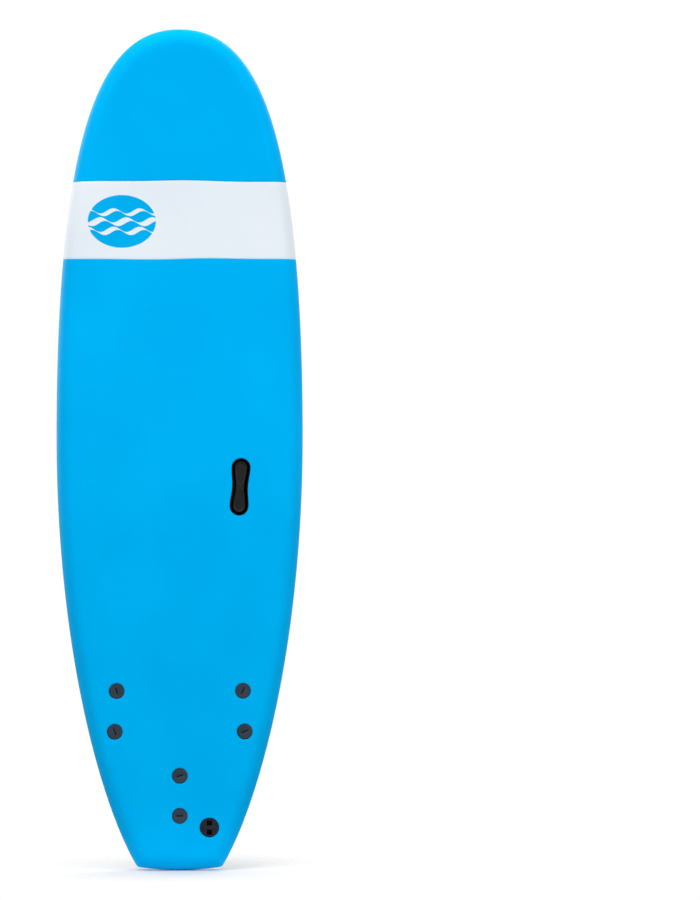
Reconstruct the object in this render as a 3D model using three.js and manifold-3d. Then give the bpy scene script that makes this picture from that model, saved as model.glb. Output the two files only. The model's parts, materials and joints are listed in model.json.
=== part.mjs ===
// A 6'0" soft-top surfboard with a squared tail, a carry handle, a leash plug
// and three fins held by bolts that pass through the board.
//
// Millimetres. The board stands on its tail: +Z points to the nose, -Y out of
// the deck, +Y out of the bottom, and +X to the right when facing the deck.
// The origin is the middle of the flat centre of the bottom.

import * as THREE from 'three';
import { mergeVertices } from 'three/addons/utils/BufferGeometryUtils.js';
import Module from 'manifold-3d';

const wasm = await Module();
wasm.setup();

// ---- Driving dimensions ----

const LENGTH = 1828.8; // 6'0"
const WIDTH = 539;
const THICKNESS = 69.85; // 2 3/4"
const NOSE_THICKNESS = 46;
const TAIL_THICKNESS = 42;
const NOSE_ROCKER = 100;
const TAIL_ROCKER = 45;
const NOSE_ROCKER_POWER = 2.2;
const FLAT_HALF_LENGTH = 160; // the bottom is flat this far each way from the middle
const DECK_DOME = 5; // how far the deck falls from the centre line to the widest rail

const WIDE_POINT = 31.8; // where the board is widest, measured along Z
const NOSE_HANDLE = 150.4; // how blunt the nose is: the curve's first handle
const NOSE_RAIL_HANDLE = 728;
const TAIL_RAIL_HANDLE = 478.8;
const TAIL_HALF_WIDTH = 92;
const TAIL_CORNER = 908; // how far the tail corner lies from the middle
const TAIL_HANDLE = { across: 74, along: 119 };
const TAIL_BULGE = 7; // how far the tail's end bows out past its corners
const TAIL_CORNER_CUT = 4.4; // how much of the rail and of the end the rounded corner takes
const LEAST_CORNER_CUT = 1.2;
const CORNER_CUT_FALL = 0.4; // how much smaller the cut gets for each unit of inset

const RAIL_APEX = 0.42; // the rail's widest line, as a share of the thickness above the bottom
const DECK_ROLL = 34; // how far in from the rail the deck starts to roll over
const BOTTOM_ROLL = 15.8;
const ROLL_FALL = { from: 600, share: 0.4 }; // the bottom's roll gets narrower towards both ends
const SEAM_ANGLE = 58.6; // where the deck skin ends and the seam strip starts, in degrees of roll
const SEAM_JOINT = 1.2; // the joint between the two, in degrees of roll

const GAP = 0.3; // clearance between neighbouring pieces
const DECK_SKIN = 6;
const SLICK_SKIN = 1.2;
const BOTTOM_FOAM = 4.5;
const SEAM_STRIP = 2;
const STRINGER = { centre: 34, thickness: 4 };
const BAND = { tail: 418.5, nose: 586.5 }; // the white band across the deck
// Blocks of firmer foam in the right side of the core, from the stringer to the rail.
const HANDLE_BLOCK = { tail: -165, nose: 5 };
const LEASH_BLOCK_NOSE = -765;
const TAIL_STRIP_Z = -898; // the seam strip is a separate piece beyond here

const FIN = { post: 30, postRadius: 7.9, insertHole: 21 };
const FIN_PLATE = { length: 146, width: 45, thickness: 3.4, edge: 1.8, chamfer: 3 };
const LEAF_POWER = 0.72; // 0.5 makes the plate an ellipse, and more makes its ends sharper
const BLADE = { depth: 115, root: 6.5, tip: 2.5 };
// The blade's edges as curve points: place along the fin, share of the depth.
const LEADING_EDGE = [[53, 0.01], [12, 0.55], [-54, 0.97], [-122, 1]];
const TRAILING_EDGE = [[-67, 0.01], [-60, 0.36], [-93, 0.74], [-131, 0.94]];
const INSERT = { length: 20, outer: 5.5, inner: 4.4 };
const BOLT = { headRadius: 16.7, head: 3, sunk: 0.6, chamfer: 1.2, shank: 4, engaged: 16 };
const SLOT = { length: 15, width: 2, depth: 1.4 };
const TUBE = { outer: 10, inner: 8.2, flangeRadius: 16.8, flange: 2.2, end: 0.5 };
const BOLT_HOLE = { head: 17.3, tube: 10.3, insert: 5.8 };

// Where each fin stands, how far apart its bolts are, how far its front turns
// in, how far its blade leans, and how far each bolt's slot is turned.
const FINS = [
  { name: 'left', x: -139.5, z: -571.7, bolts: 88.8, toe: 2.5, cant: -2, slots: { front: -18, rear: -23 } },
  { name: 'right', x: 139.5, z: -571.7, bolts: 88.8, toe: -2.5, cant: 2, slots: { front: 27, rear: 70 } },
  { name: 'centre', x: 0, z: -756.5, bolts: 86.9, toe: 0, cant: 0, slots: { front: 73, rear: 90 } },
];

const LEASH = {
  x: 64.4, z: -820, flangeRadius: 21, flange: 4.9, sunk: 0.3, chamfer: 0.8, body: 18.5, bodyDepth: 24,
  stem: 10, stemDepth: 34, bore: 6.4, boreTop: 22,
};
const LEASH_CHANNEL = { width: 11, nose: 14.5, tail: 16, barNose: 4, barTail: 4.8, bar: 5.5, depth: 17 };
const LEASH_CAP = { radius: 20, flange: 5.7, proud: 0.5, chamfer: 1.5, spigot: 6, spigotTop: 25 };
const CAP_SLOT = { length: 17.7, width: 5, depth: 1.3 };

const HANDLE = {
  x: 131.5, z: -78.5, turn: 3, lobe: 20.2, lobeCentre: 42.2, waist: 16.9,
  wall: 2.2, depth: 26, floor: 2.2, pedestal: 11,
};
const STRAP = { lobe: 13.2, waist: 8.6, sunk: 0.8, thickness: 4 };
// Where the curve between a lobe and the waist has its handles, as shares of the
// way from the waist to the lobe's centre.
const LOBE_EASE = 0.6;
const WAIST_EASE = 0.4;

// Rows and columns of the board's surfaces, and sides of the round pieces.
const NOSE_ROWS = 12;
const TAIL_ROWS = 10;
const COLUMNS = 4;
const ROUND = 16;
const SMALL_ROUND = 12;
const BLADE_SECTIONS = 6;
const BLADE_SIDES = 8;

const COLOURS = {
  deck: 0x00aff4, band: 0xecf5fe, slick: 0xefefec, foam: 0xe6eef2, core: 0xf4f4f0,
  seam: 0x04aae1, wood: 0xc8a26a, fin: 0x303137, bolt: 0x324150, tube: 0xb9bec2,
  brass: 0xb8923e, cup: 0x08090b, strap: 0x262629, leash: 0x232a32, cap: 0x232126,
};

const NEAR_CORNER = 0.02; // a short step back along the rail curve from the tail corner

const TIP = LENGTH / 2;
const HALF_WIDTH = WIDTH / 2;

// ---- The board's outline, bottom and deck ----

const point2 = (x, z) => new THREE.Vector2(x, z);

const noseCurve = new THREE.CubicBezierCurve(
  point2(0, TIP),
  point2(NOSE_HANDLE, TIP),
  point2(HALF_WIDTH, WIDE_POINT + NOSE_RAIL_HANDLE),
  point2(HALF_WIDTH, WIDE_POINT),
);
const tailCurve = new THREE.CubicBezierCurve(
  point2(HALF_WIDTH, WIDE_POINT),
  point2(HALF_WIDTH, WIDE_POINT - TAIL_RAIL_HANDLE),
  point2(TAIL_HALF_WIDTH + TAIL_HANDLE.across, TAIL_HANDLE.along - TAIL_CORNER),
  point2(TAIL_HALF_WIDTH, -TAIL_CORNER),
);

// How far the bottom rises towards the deck side at z.
function rocker(z) {
  const beyond = Math.max(0, Math.abs(z) - FLAT_HALF_LENGTH) / (TIP - FLAT_HALF_LENGTH);
  return z > 0 ? NOSE_ROCKER * beyond ** NOSE_ROCKER_POWER : TAIL_ROCKER * beyond ** 2;
}

function thicknessAt(x, z) {
  const end = z > 0 ? NOSE_THICKNESS : TAIL_THICKNESS;
  return THICKNESS - (THICKNESS - end) * (z / TIP) ** 4 - DECK_DOME * (x / HALF_WIDTH) ** 2;
}

const bottomY = (x, z) => -rocker(z);
const deckY = (x, z) => -rocker(z) - thicknessAt(x, z);
const middleY = (x, z) => (bottomY(x, z) + deckY(x, z)) / 2;

// A ring of the board's surface: `side` is deck or bottom, `angle` is how far
// it has rolled over from the rail (0) to the flat (90), and `depth` is how far
// it lies inside the outer surface. It lies in from the outline by `flat` and
// by its part of the roll.
function boardRing(side, angle, depth) {
  const turn = THREE.MathUtils.degToRad(angle);
  const roll = side === 'deck' ? DECK_ROLL : BOTTOM_ROLL;
  return { side, turn, depth, flat: depth * Math.cos(turn), rolled: roll * (1 - Math.cos(turn)) };
}

function insetAt({ side, flat, rolled }, z) {
  const beyond = Math.max(0, Math.abs(z) - ROLL_FALL.from) / (TIP - ROLL_FALL.from);
  const share = side === 'deck' ? 1 : 1 - ROLL_FALL.share * beyond ** 2;
  return flat + rolled * share;
}

// A point of a ring on the right-hand rail. t runs 0 to 1 from the nose to the
// widest point, and 1 to 2 from there to the tail corner.
function railPoint(t, ring) {
  const curve = t < 1 ? noseCurve : tailCurve;
  const along = t < 1 ? t : t - 1;
  const point = curve.getPoint(along);
  const tangent = curve.getTangent(Math.min(along, 1));
  const inset = insetAt(ring, point.y);
  return point2(point.x + tangent.y * inset, point.y - tangent.x * inset);
}

const tailEndZ = (x, ring) => TAIL_BULGE * (x / TAIL_HALF_WIDTH) ** 2 - TIP + insetAt(ring, -TIP);

// Where a ring's rail meets its tail end, as a value of t.
function tailCornerAt(ring) {
  let low = 1.5;
  let high = 2.15;
  for (let step = 0; step < 40; step += 1) {
    const middle = (low + high) / 2;
    const point = railPoint(middle, ring);
    if (point.y > tailEndZ(point.x, ring)) low = middle;
    else high = middle;
  }
  return low;
}

// The right half of a ring, from the nose tip to the start of the tail's end,
// with the tail corner rounded.
function rightHalf(ring) {
  const rows = [];
  for (let i = 0; i <= NOSE_ROWS; i += 1) rows.push(railPoint(i / NOSE_ROWS, ring));
  const corner = tailCornerAt(ring);
  const sharp = railPoint(corner, ring);
  const cut = Math.max(TAIL_CORNER_CUT - CORNER_CUT_FALL * insetAt(ring, -TIP), LEAST_CORNER_CUT);
  const lastRow = railPoint(corner - NEAR_CORNER, ring);
  const before = sharp.clone().add(lastRow.sub(sharp).setLength(cut));
  const after = point2(sharp.x - cut, tailEndZ(sharp.x - cut, ring));
  for (let i = 1; i < TAIL_ROWS; i += 1) {
    rows.push(railPoint(1 + ((corner - 1) * i) / TAIL_ROWS, ring));
  }
  rows.push(...new THREE.QuadraticBezierCurve(before, sharp, after).getPoints(3));
  rows[0].x = 0;
  return rows;
}

// ---- Closed surfaces made of rings ----

class Surface {
  points = [];
  triangles = [];

  add(point) {
    this.points.push(point.x, point.y, point.z);
    return this.points.length / 3 - 1;
  }

  ring(points) {
    return points.map((point) => this.add(point));
  }

  bridge(one, two) {
    one.forEach((corner, i) => {
      const next = (i + 1) % one.length;
      this.triangles.push(corner, one[next], two[i], one[next], two[next], two[i]);
    });
  }

  fan(ring, forwards) {
    for (let i = 1; i < ring.length - 1; i += 1) {
      const triangle = [ring[0], ring[i], ring[i + 1]];
      this.triangles.push(...(forwards ? triangle : triangle.reverse()));
    }
  }

  // Fills a ring of the board with rows of points across it. The first row is
  // the nose tip alone, and the last one is the tail's end.
  rows(ring, rowCount, place, forwards) {
    const across = [Array(COLUMNS + 1).fill(ring[0])];
    for (let row = 1; row <= rowCount; row += 1) {
      const line = [ring[ring.length - row]];
      for (let column = 1; column < COLUMNS; column += 1) {
        const share = (2 * column) / COLUMNS - 1;
        const onEnd = ring[rowCount + COLUMNS - column];
        line.push(row === rowCount ? onEnd : this.add(place(row, share)));
      }
      across.push([...line, ring[row]]);
    }
    for (let row = 0; row < rowCount; row += 1) {
      for (let column = 0; column < COLUMNS; column += 1) {
        const [a, b] = [across[row][column], across[row][column + 1]];
        const [d, c] = [across[row + 1][column], across[row + 1][column + 1]];
        if (a !== b) this.triangles.push(...(forwards ? [a, b, c] : [c, b, a]));
        this.triangles.push(...(forwards ? [a, c, d] : [d, c, a]));
      }
    }
  }

  geometry() {
    const geometry = new THREE.BufferGeometry();
    geometry.setAttribute('position', new THREE.Float32BufferAttribute(this.points, 3));
    geometry.setIndex(this.triangles);
    return facingOut(geometry);
  }
}

// Turns a closed surface right side out.
function facingOut(geometry) {
  const { position } = geometry.attributes;
  const corners = [new THREE.Vector3(), new THREE.Vector3(), new THREE.Vector3()];
  const index = geometry.index.array;
  let volume = 0;
  for (let i = 0; i < index.length; i += 3) {
    corners.forEach((corner, k) => corner.fromBufferAttribute(position, index[i + k]));
    volume += corners[0].dot(corners[1].clone().cross(corners[2]));
  }
  if (volume < 0) geometry.setIndex(Array.from(index).reverse());
  return geometry;
}

function heightOnBoard({ side, turn, depth }, x, z) {
  const thickness = thicknessAt(x, z);
  const apex = bottomY(x, z) - RAIL_APEX * thickness;
  if (side === 'deck') return apex - ((1 - RAIL_APEX) * thickness - depth) * Math.sin(turn);
  return apex + (RAIL_APEX * thickness - depth) * Math.sin(turn);
}

// A closed layer of the board through a list of rings. Open layers are filled
// with rows at both ends, and a loop closes on itself.
function boardLayer(rings, loop = false) {
  const surface = new Surface();
  const made = rings.map((ring) => {
    const half = rightHalf(ring);
    const place = (x, z) => new THREE.Vector3(x, heightOnBoard(ring, x, z), z);
    const last = half[half.length - 1];
    const end = [];
    for (let column = COLUMNS - 1; column > 0; column -= 1) {
      const x = last.x * ((2 * column) / COLUMNS - 1);
      end.push(place(x, tailEndZ(x, ring)));
    }
    const right = half.map((point) => place(point.x, point.y));
    const left = half.slice(1).reverse().map((point) => place(-point.x, point.y));
    const rowPoint = (row, share) => place(half[row].x * share, half[row].y);
    return { indices: surface.ring([...right, ...end, ...left]), rows: half.length - 1, rowPoint };
  });
  for (let i = 1; i < made.length; i += 1) surface.bridge(made[i - 1].indices, made[i].indices);
  const [first, last] = [made[0], made[made.length - 1]];
  if (loop) {
    surface.bridge(last.indices, first.indices);
  } else {
    surface.rows(first.indices, first.rows, first.rowPoint, false);
    surface.rows(last.indices, last.rows, last.rowPoint, true);
  }
  return surface.geometry();
}

// ---- Cutting and joining ----

function solid(geometry) {
  const bare = new THREE.BufferGeometry();
  bare.setAttribute('position', geometry.attributes.position);
  bare.setIndex(geometry.index);
  const merged = mergeVertices(bare, 1e-3);
  const index = Array.from(merged.index.array);
  const kept = [];
  for (let i = 0; i < index.length; i += 3) {
    const [a, b, c] = index.slice(i, i + 3);
    if (a !== b && b !== c && a !== c) kept.push(a, b, c);
  }
  const mesh = new wasm.Mesh({
    numProp: 3,
    vertProperties: new Float32Array(merged.attributes.position.array),
    triVerts: new Uint32Array(kept),
  });
  return new wasm.Manifold(mesh);
}

function geometryOf(body) {
  const { vertProperties, triVerts } = body.getMesh();
  const geometry = new THREE.BufferGeometry();
  geometry.setAttribute('position', new THREE.BufferAttribute(vertProperties, 3));
  geometry.setIndex(new THREE.BufferAttribute(triVerts, 1));
  return geometry;
}

const cutAll = (body, tools) => tools.reduce((rest, tool) => rest.subtract(solid(tool)), body);

// The part of a body between two planes across an axis.
function slice(body, axis, low, high) {
  const reach = 4 * LENGTH;
  const size = { x: reach, y: reach, z: reach, [axis]: high - low };
  const middle = { x: 0, y: 0, z: 0, [axis]: (low + high) / 2 };
  const slab = new THREE.BoxGeometry(size.x, size.y, size.z);
  return body.intersect(solid(slab.translate(middle.x, middle.y, middle.z)));
}

// ---- Simple shapes about the local Y axis ----

function rod(radius, low, high, sides = ROUND, x = 0, z = 0) {
  const geometry = new THREE.CylinderGeometry(radius, radius, high - low, sides);
  return geometry.translate(x, (low + high) / 2, z);
}

function box(x0, x1, y0, y1, z0, z1) {
  const geometry = new THREE.BoxGeometry(x1 - x0, y1 - y0, z1 - z0);
  return geometry.translate((x0 + x1) / 2, (y0 + y1) / 2, (z0 + z1) / 2);
}

// A turned piece from a profile of [radius, y] pairs that starts and ends on
// the axis, or closes on itself.
function turned(profile, sides = ROUND) {
  const points = profile.map(([radius, y]) => new THREE.Vector2(radius, y));
  return facingOut(new THREE.LatheGeometry(points, sides));
}

// A plate of a shape drawn in X and Z, between two heights.
function plate(shape, low, high) {
  const options = { depth: high - low, bevelEnabled: false, curveSegments: 6 };
  const geometry = new THREE.ExtrudeGeometry(shape, options);
  geometry.rotateX(Math.PI / 2).translate(0, high, 0);
  return indexed(geometry);
}

function indexed(geometry) {
  const bare = new THREE.BufferGeometry();
  bare.setAttribute('position', geometry.attributes.position);
  return mergeVertices(bare, 1e-4);
}

// ---- Frames on the board's surfaces ----

// A group at a surface's point, with its local Y along the surface's normal on
// the bottom's side, turned about it. `lean` is the surface that sets the normal.
function frameOn(surface, x, z, turn = 0, lean = surface) {
  const slopeX = (lean(x + 1, z) - lean(x - 1, z)) / 2;
  const slopeZ = (lean(x, z + 1) - lean(x, z - 1)) / 2;
  const normal = new THREE.Vector3(-slopeX, 1, -slopeZ).normalize();
  const up = new THREE.Vector3(0, 1, 0);
  const group = new THREE.Group();
  group.position.set(x, surface(x, z), z);
  group.quaternion.setFromUnitVectors(up, normal);
  group.rotateY(THREE.MathUtils.degToRad(turn));
  group.updateMatrix();
  return group;
}

const placed = (geometry, group) => geometry.clone().applyMatrix4(group.matrix);

// The local height at which a line along local Y through (0, 0, z) meets another
// surface, found by a few steps along the line.
function heightOf(surface, group, z = 0) {
  const start = new THREE.Vector3(0, 0, z).applyMatrix4(group.matrix);
  const up = new THREE.Vector3(0, 1, 0).transformDirection(group.matrix);
  let height = 0;
  for (let step = 0; step < 6; step += 1) {
    const point = start.clone().addScaledVector(up, height);
    height = (surface(point.x, point.z) - start.y) / up.y;
  }
  return height;
}

// ---- Fins, bolts, inserts and tubes ----

const finFrames = FINS.map((fin) => ({
  ...fin,
  group: frameOn(bottomY, fin.x, fin.z, fin.toe),
}));

const boltsOf = (fin) => ['front', 'rear'].map((end) => {
  const z = (end === 'front' ? 0.5 : -0.5) * fin.bolts;
  return { end, z, slot: fin.slots[end], deck: heightOf(deckY, fin.group, z) };
});

// The leaf-shaped outline of the fin's base plate.
function leafRing(y, inset) {
  const length = FIN_PLATE.length / 2 - inset;
  const width = FIN_PLATE.width / 2 - inset;
  const points = [];
  for (let i = 0; i < ROUND; i += 1) {
    const angle = (2 * Math.PI * i) / ROUND;
    const along = Math.cos(angle);
    const across = Math.sign(Math.sin(angle)) * (1 - along * along) ** LEAF_POWER;
    points.push(new THREE.Vector3(width * across, y, length * along));
  }
  return points;
}

function finPlate() {
  const surface = new Surface();
  const rings = [
    leafRing(GAP, 0),
    leafRing(GAP + FIN_PLATE.edge, 0),
    leafRing(GAP + FIN_PLATE.thickness, FIN_PLATE.chamfer),
  ].map((points) => surface.ring(points));
  surface.fan(rings[0], false);
  surface.bridge(rings[0], rings[1]);
  surface.bridge(rings[1], rings[2]);
  surface.fan(rings[2], true);
  return surface.geometry();
}

// The blade: oval sections between its leading and trailing edges.
function finBlade(cant) {
  const edge = (points) => new THREE.CubicBezierCurve(
    ...points.map(([along, share]) => point2(along, share * BLADE.depth)),
  );
  const [leading, trailing] = [edge(LEADING_EDGE), edge(TRAILING_EDGE)];
  const lean = Math.tan(THREE.MathUtils.degToRad(cant));
  const surface = new Surface();
  const rings = [];
  for (let i = 0; i <= BLADE_SECTIONS; i += 1) {
    const share = i / BLADE_SECTIONS;
    const [front, back] = [leading.getPoint(share), trailing.getPoint(share)];
    const half = THREE.MathUtils.lerp(BLADE.root, BLADE.tip, share) / 2;
    const points = [];
    for (let k = 0; k < BLADE_SIDES; k += 1) {
      const angle = (2 * Math.PI * k) / BLADE_SIDES;
      const middle = front.clone().lerp(back, (1 - Math.cos(angle)) / 2);
      points.push(new THREE.Vector3(half * Math.sin(angle) + lean * middle.y, middle.y, middle.x));
    }
    rings.push(surface.ring(points));
  }
  surface.fan(rings[0], false);
  for (let i = 0; i < BLADE_SECTIONS; i += 1) surface.bridge(rings[i], rings[i + 1]);
  surface.fan(rings[BLADE_SECTIONS], true);
  return surface.geometry();
}

function fin(frame) {
  let body = solid(finPlate()).add(solid(finBlade(frame.cant)));
  for (const { z } of boltsOf(frame)) {
    body = body.add(solid(rod(FIN.postRadius, -FIN.post, GAP + 1, ROUND, 0, z)));
    const hole = rod(BOLT_HOLE.insert, -FIN.post - 1, FIN.insertHole - FIN.post, SMALL_ROUND, 0, z);
    body = body.subtract(solid(hole));
  }
  return geometryOf(body);
}

function insert() {
  const [top, end] = [-FIN.post, INSERT.length - FIN.post];
  return turned([
    [INSERT.inner, top], [INSERT.outer, top], [INSERT.outer, end], [INSERT.inner, end], [INSERT.inner, top],
  ], SMALL_ROUND);
}

function bolt({ deck, slot }) {
  const top = deck + BOLT.sunk;
  const seat = top + BOLT.head;
  const tip = BOLT.engaged - FIN.post;
  const body = turned([
    [0, top], [BOLT.headRadius - BOLT.chamfer, top], [BOLT.headRadius, top + BOLT.chamfer / 2],
    [BOLT.headRadius, seat], [BOLT.shank, seat], [BOLT.shank, tip], [0, tip],
  ]);
  const { length, width, depth } = SLOT;
  const cut = box(-width / 2, width / 2, top - 1, top + depth, -length / 2, length / 2);
  cut.rotateY(THREE.MathUtils.degToRad(slot));
  return geometryOf(solid(body).subtract(solid(cut)));
}

function tube({ deck }) {
  const top = deck + BOLT.sunk + BOLT.head + GAP;
  const under = top + TUBE.flange;
  return turned([
    [TUBE.inner, top], [TUBE.flangeRadius, top], [TUBE.flangeRadius, under],
    [TUBE.outer, under], [TUBE.outer, -TUBE.end], [TUBE.inner, -TUBE.end], [TUBE.inner, top],
  ]);
}

// ---- Leash plug ----

const leashFrame = frameOn(deckY, LEASH.x, LEASH.z, 0, middleY);
const leashLength = heightOf(bottomY, leashFrame);

function leashCup() {
  const { sunk, flange, flangeRadius, chamfer, body, bodyDepth, stem, stemDepth, bore, boreTop } = LEASH;
  const cup = solid(turned([
    [0, sunk], [flangeRadius - chamfer, sunk], [flangeRadius, sunk + chamfer],
    [flangeRadius, sunk + flange], [body, sunk + flange], [body, bodyDepth], [stem, bodyDepth],
    [stem, stemDepth], [0, stemDepth],
  ]));
  const { width, nose, tail, barNose, barTail, bar, depth } = LEASH_CHANNEL;
  const half = width / 2;
  return geometryOf(cutAll(cup, [
    box(-half, half, -1, depth, barNose, nose),
    box(-half, half, -1, depth, -tail, -barTail),
    box(-half, half, bar, depth, -tail, nose),
    rod(bore, boreTop, stemDepth + 1, SMALL_ROUND),
  ]));
}

function leashCap() {
  const { radius, flange, proud, chamfer, spigot, spigotTop } = LEASH_CAP;
  const face = leashLength + proud;
  const cap = solid(turned([
    [0, face], [radius - chamfer, face], [radius, face - chamfer], [radius, face - flange],
    [spigot, face - flange], [spigot, spigotTop], [0, spigotTop],
  ]));
  const { length, width, depth } = CAP_SLOT;
  const slot = box(-width / 2, width / 2, face - depth, face + 1, -length / 2, length / 2);
  return geometryOf(cap.subtract(solid(slot)));
}

// ---- Carry handle ----

const handleFrame = frameOn(deckY, HANDLE.x, HANDLE.z, HANDLE.turn);

// A shape with two round lobes and a narrower waist.
function dogBone(lobe, waist) {
  const centre = HANDLE.lobeCentre;
  const [high, low] = [LOBE_EASE * centre, WAIST_EASE * centre];
  const shape = new THREE.Shape();
  shape.moveTo(lobe, centre);
  shape.absarc(0, centre, lobe, 0, Math.PI, false);
  shape.bezierCurveTo(-lobe, high, -waist, low, -waist, 0);
  shape.bezierCurveTo(-waist, -low, -lobe, -high, -lobe, -centre);
  shape.absarc(0, -centre, lobe, Math.PI, 2 * Math.PI, false);
  shape.bezierCurveTo(lobe, -high, waist, -low, waist, 0);
  shape.bezierCurveTo(waist, low, lobe, high, lobe, centre);
  return shape;
}

function handleCup() {
  const { lobe, waist, wall, depth, floor, pedestal, lobeCentre } = HANDLE;
  const inside = plate(dogBone(lobe - wall, waist - wall), -1, depth - floor);
  let cup = solid(plate(dogBone(lobe, waist), 0, depth)).subtract(solid(inside));
  const top = STRAP.sunk + STRAP.thickness + GAP;
  for (const z of [lobeCentre, -lobeCentre]) {
    cup = cup.add(solid(rod(pedestal, top, depth - floor / 2, SMALL_ROUND, 0, z)));
  }
  return geometryOf(cup);
}

const handleStrap = () => (
  plate(dogBone(STRAP.lobe, STRAP.waist), STRAP.sunk, STRAP.sunk + STRAP.thickness)
);

// ---- Holes through the board ----

// One rod for each bolt. `low` and `high` give its two ends from the bolt's place.
function boltHoles(radius, low, high) {
  return finFrames.flatMap((frame) => boltsOf(frame).map((place) => (
    placed(rod(radius, low(place), high(place), ROUND, 0, place.z), frame.group)
  )));
}

const aboveDeck = ({ deck }) => deck - 20;
const underSeat = ({ deck }) => deck + BOLT.sunk + BOLT.head + TUBE.flange + 2 * GAP;
const underSkin = ({ deck }) => deck + 2 * DECK_SKIN;
const belowBottom = () => 20;

function leashHoles() {
  const { flangeRadius, body, bodyDepth, stem, sunk, flange } = LEASH;
  const capSeat = leashLength + LEASH_CAP.proud - LEASH_CAP.flange;
  return [
    rod(flangeRadius + GAP, -20, sunk + flange + GAP),
    rod(body + GAP, 0, bodyDepth + GAP),
    rod(stem + GAP, 0, capSeat + 1),
    rod(LEASH_CAP.radius + GAP, capSeat - GAP, leashLength + 20),
  ].map((tool) => placed(tool, leashFrame));
}

function handleHole() {
  const hole = plate(dogBone(HANDLE.lobe + GAP, HANDLE.waist + GAP), -20, HANDLE.depth + GAP);
  return placed(hole, handleFrame);
}

// ---- The board's layers ----

function deckSkins() {
  const outside = [
    boardRing('deck', 90, 0), boardRing('deck', 60, 0), boardRing('deck', 30, 0),
    boardRing('deck', 0, 0), boardRing('bottom', 30, 0), boardRing('bottom', SEAM_ANGLE, 0),
  ];
  const step = SEAM_STRIP + GAP;
  const underStrip = [boardRing('bottom', SEAM_ANGLE, step), boardRing('bottom', 90, step)];
  const inside = [
    boardRing('bottom', 90, DECK_SKIN), boardRing('bottom', SEAM_ANGLE, DECK_SKIN),
    boardRing('bottom', 30, DECK_SKIN), boardRing('deck', 0, DECK_SKIN),
    boardRing('deck', 30, DECK_SKIN), boardRing('deck', 60, DECK_SKIN), boardRing('deck', 90, DECK_SKIN),
  ];
  const whole = solid(boardLayer([...outside, ...underStrip, ...inside]));
  const half = GAP / 2;
  const main = slice(whole, 'z', -LENGTH, BAND.tail - half);
  return {
    nose: geometryOf(slice(whole, 'z', BAND.nose + half, LENGTH)),
    band: geometryOf(slice(whole, 'z', BAND.tail + half, BAND.nose - half)),
    main: geometryOf(cutAll(main, [
      ...boltHoles(BOLT_HOLE.head, aboveDeck, underSkin),
      placed(rod(LEASH.flangeRadius + GAP, -20, 2 * DECK_SKIN), leashFrame),
      handleHole(),
    ])),
  };
}

// The foam core is cut lengthwise by two stringers, and its right side is cut
// across by the blocks that hold the handle and the leash plug.
function coreAndStringers() {
  const depth = DECK_SKIN + GAP;
  const rings = [
    boardRing('deck', 90, depth), boardRing('deck', 60, depth), boardRing('deck', 30, depth),
    boardRing('deck', 0, depth), boardRing('bottom', 30, depth), boardRing('bottom', SEAM_ANGLE, depth),
    boardRing('bottom', 90, depth),
  ];
  const holes = [
    ...boltHoles(BOLT_HOLE.head, aboveDeck, underSeat),
    ...boltHoles(BOLT_HOLE.tube, aboveDeck, belowBottom),
    ...leashHoles(),
    handleHole(),
  ];
  const whole = cutAll(solid(boardLayer(rings)), holes);
  const inner = STRINGER.centre - STRINGER.thickness / 2;
  const outer = STRINGER.centre + STRINGER.thickness / 2;
  const piece = (low, high) => geometryOf(slice(whole, 'x', low, high));
  const right = slice(whole, 'x', outer + GAP, WIDTH);
  const across = (low, high) => geometryOf(slice(right, 'z', low + GAP / 2, high - GAP / 2));
  return {
    core_left: piece(-WIDTH, -outer - GAP),
    core_centre: piece(GAP - inner, inner - GAP),
    core_right_nose: across(HANDLE_BLOCK.nose, LENGTH),
    handle_block: across(HANDLE_BLOCK.tail, HANDLE_BLOCK.nose),
    core_right_middle: across(LEASH_BLOCK_NOSE, HANDLE_BLOCK.tail),
    leash_block: across(-LENGTH, LEASH_BLOCK_NOSE),
    stringer_left: piece(-outer, -inner),
    stringer_right: piece(inner, outer),
  };
}

// A sheet of the bottom between two depths.
function bottomSheet(top, thickness) {
  const rings = [top + thickness, top].map((depth) => (
    { ...boardRing('bottom', 90, depth), flat: GAP }
  ));
  const holes = [
    ...boltHoles(BOLT_HOLE.tube, aboveDeck, belowBottom),
    placed(rod(LEASH_CAP.radius + GAP, leashLength - 20, leashLength + 20), leashFrame),
  ];
  return geometryOf(cutAll(solid(boardLayer(rings)), holes));
}

function seamStrips() {
  const start = SEAM_ANGLE + SEAM_JOINT;
  const rings = [
    boardRing('bottom', start, 0), boardRing('bottom', 90, 0),
    boardRing('bottom', 90, SEAM_STRIP), boardRing('bottom', start, SEAM_STRIP),
  ];
  const whole = solid(boardLayer(rings, true));
  return {
    rail: geometryOf(slice(whole, 'z', TAIL_STRIP_Z + GAP / 2, LENGTH)),
    tail: geometryOf(slice(whole, 'z', -LENGTH, TAIL_STRIP_Z - GAP / 2)),
  };
}

// ---- Assembly ----

function piece(name, geometry, colour, roughness, metalness = 0) {
  const material = new THREE.MeshStandardMaterial({ color: colour, roughness, metalness });
  const mesh = new THREE.Mesh(geometry, material);
  mesh.name = name;
  return mesh;
}

const board = new THREE.Group();

const skins = deckSkins();
board.add(piece('deck_skin_nose', skins.nose, COLOURS.deck, 0.62));
board.add(piece('deck_skin_band', skins.band, COLOURS.band, 0.62));
board.add(piece('deck_skin_main', skins.main, COLOURS.deck, 0.62));

for (const [name, geometry] of Object.entries(coreAndStringers())) {
  const colour = name.startsWith('stringer') ? COLOURS.wood : COLOURS.core;
  board.add(piece(name, geometry, colour, 0.85));
}

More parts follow.
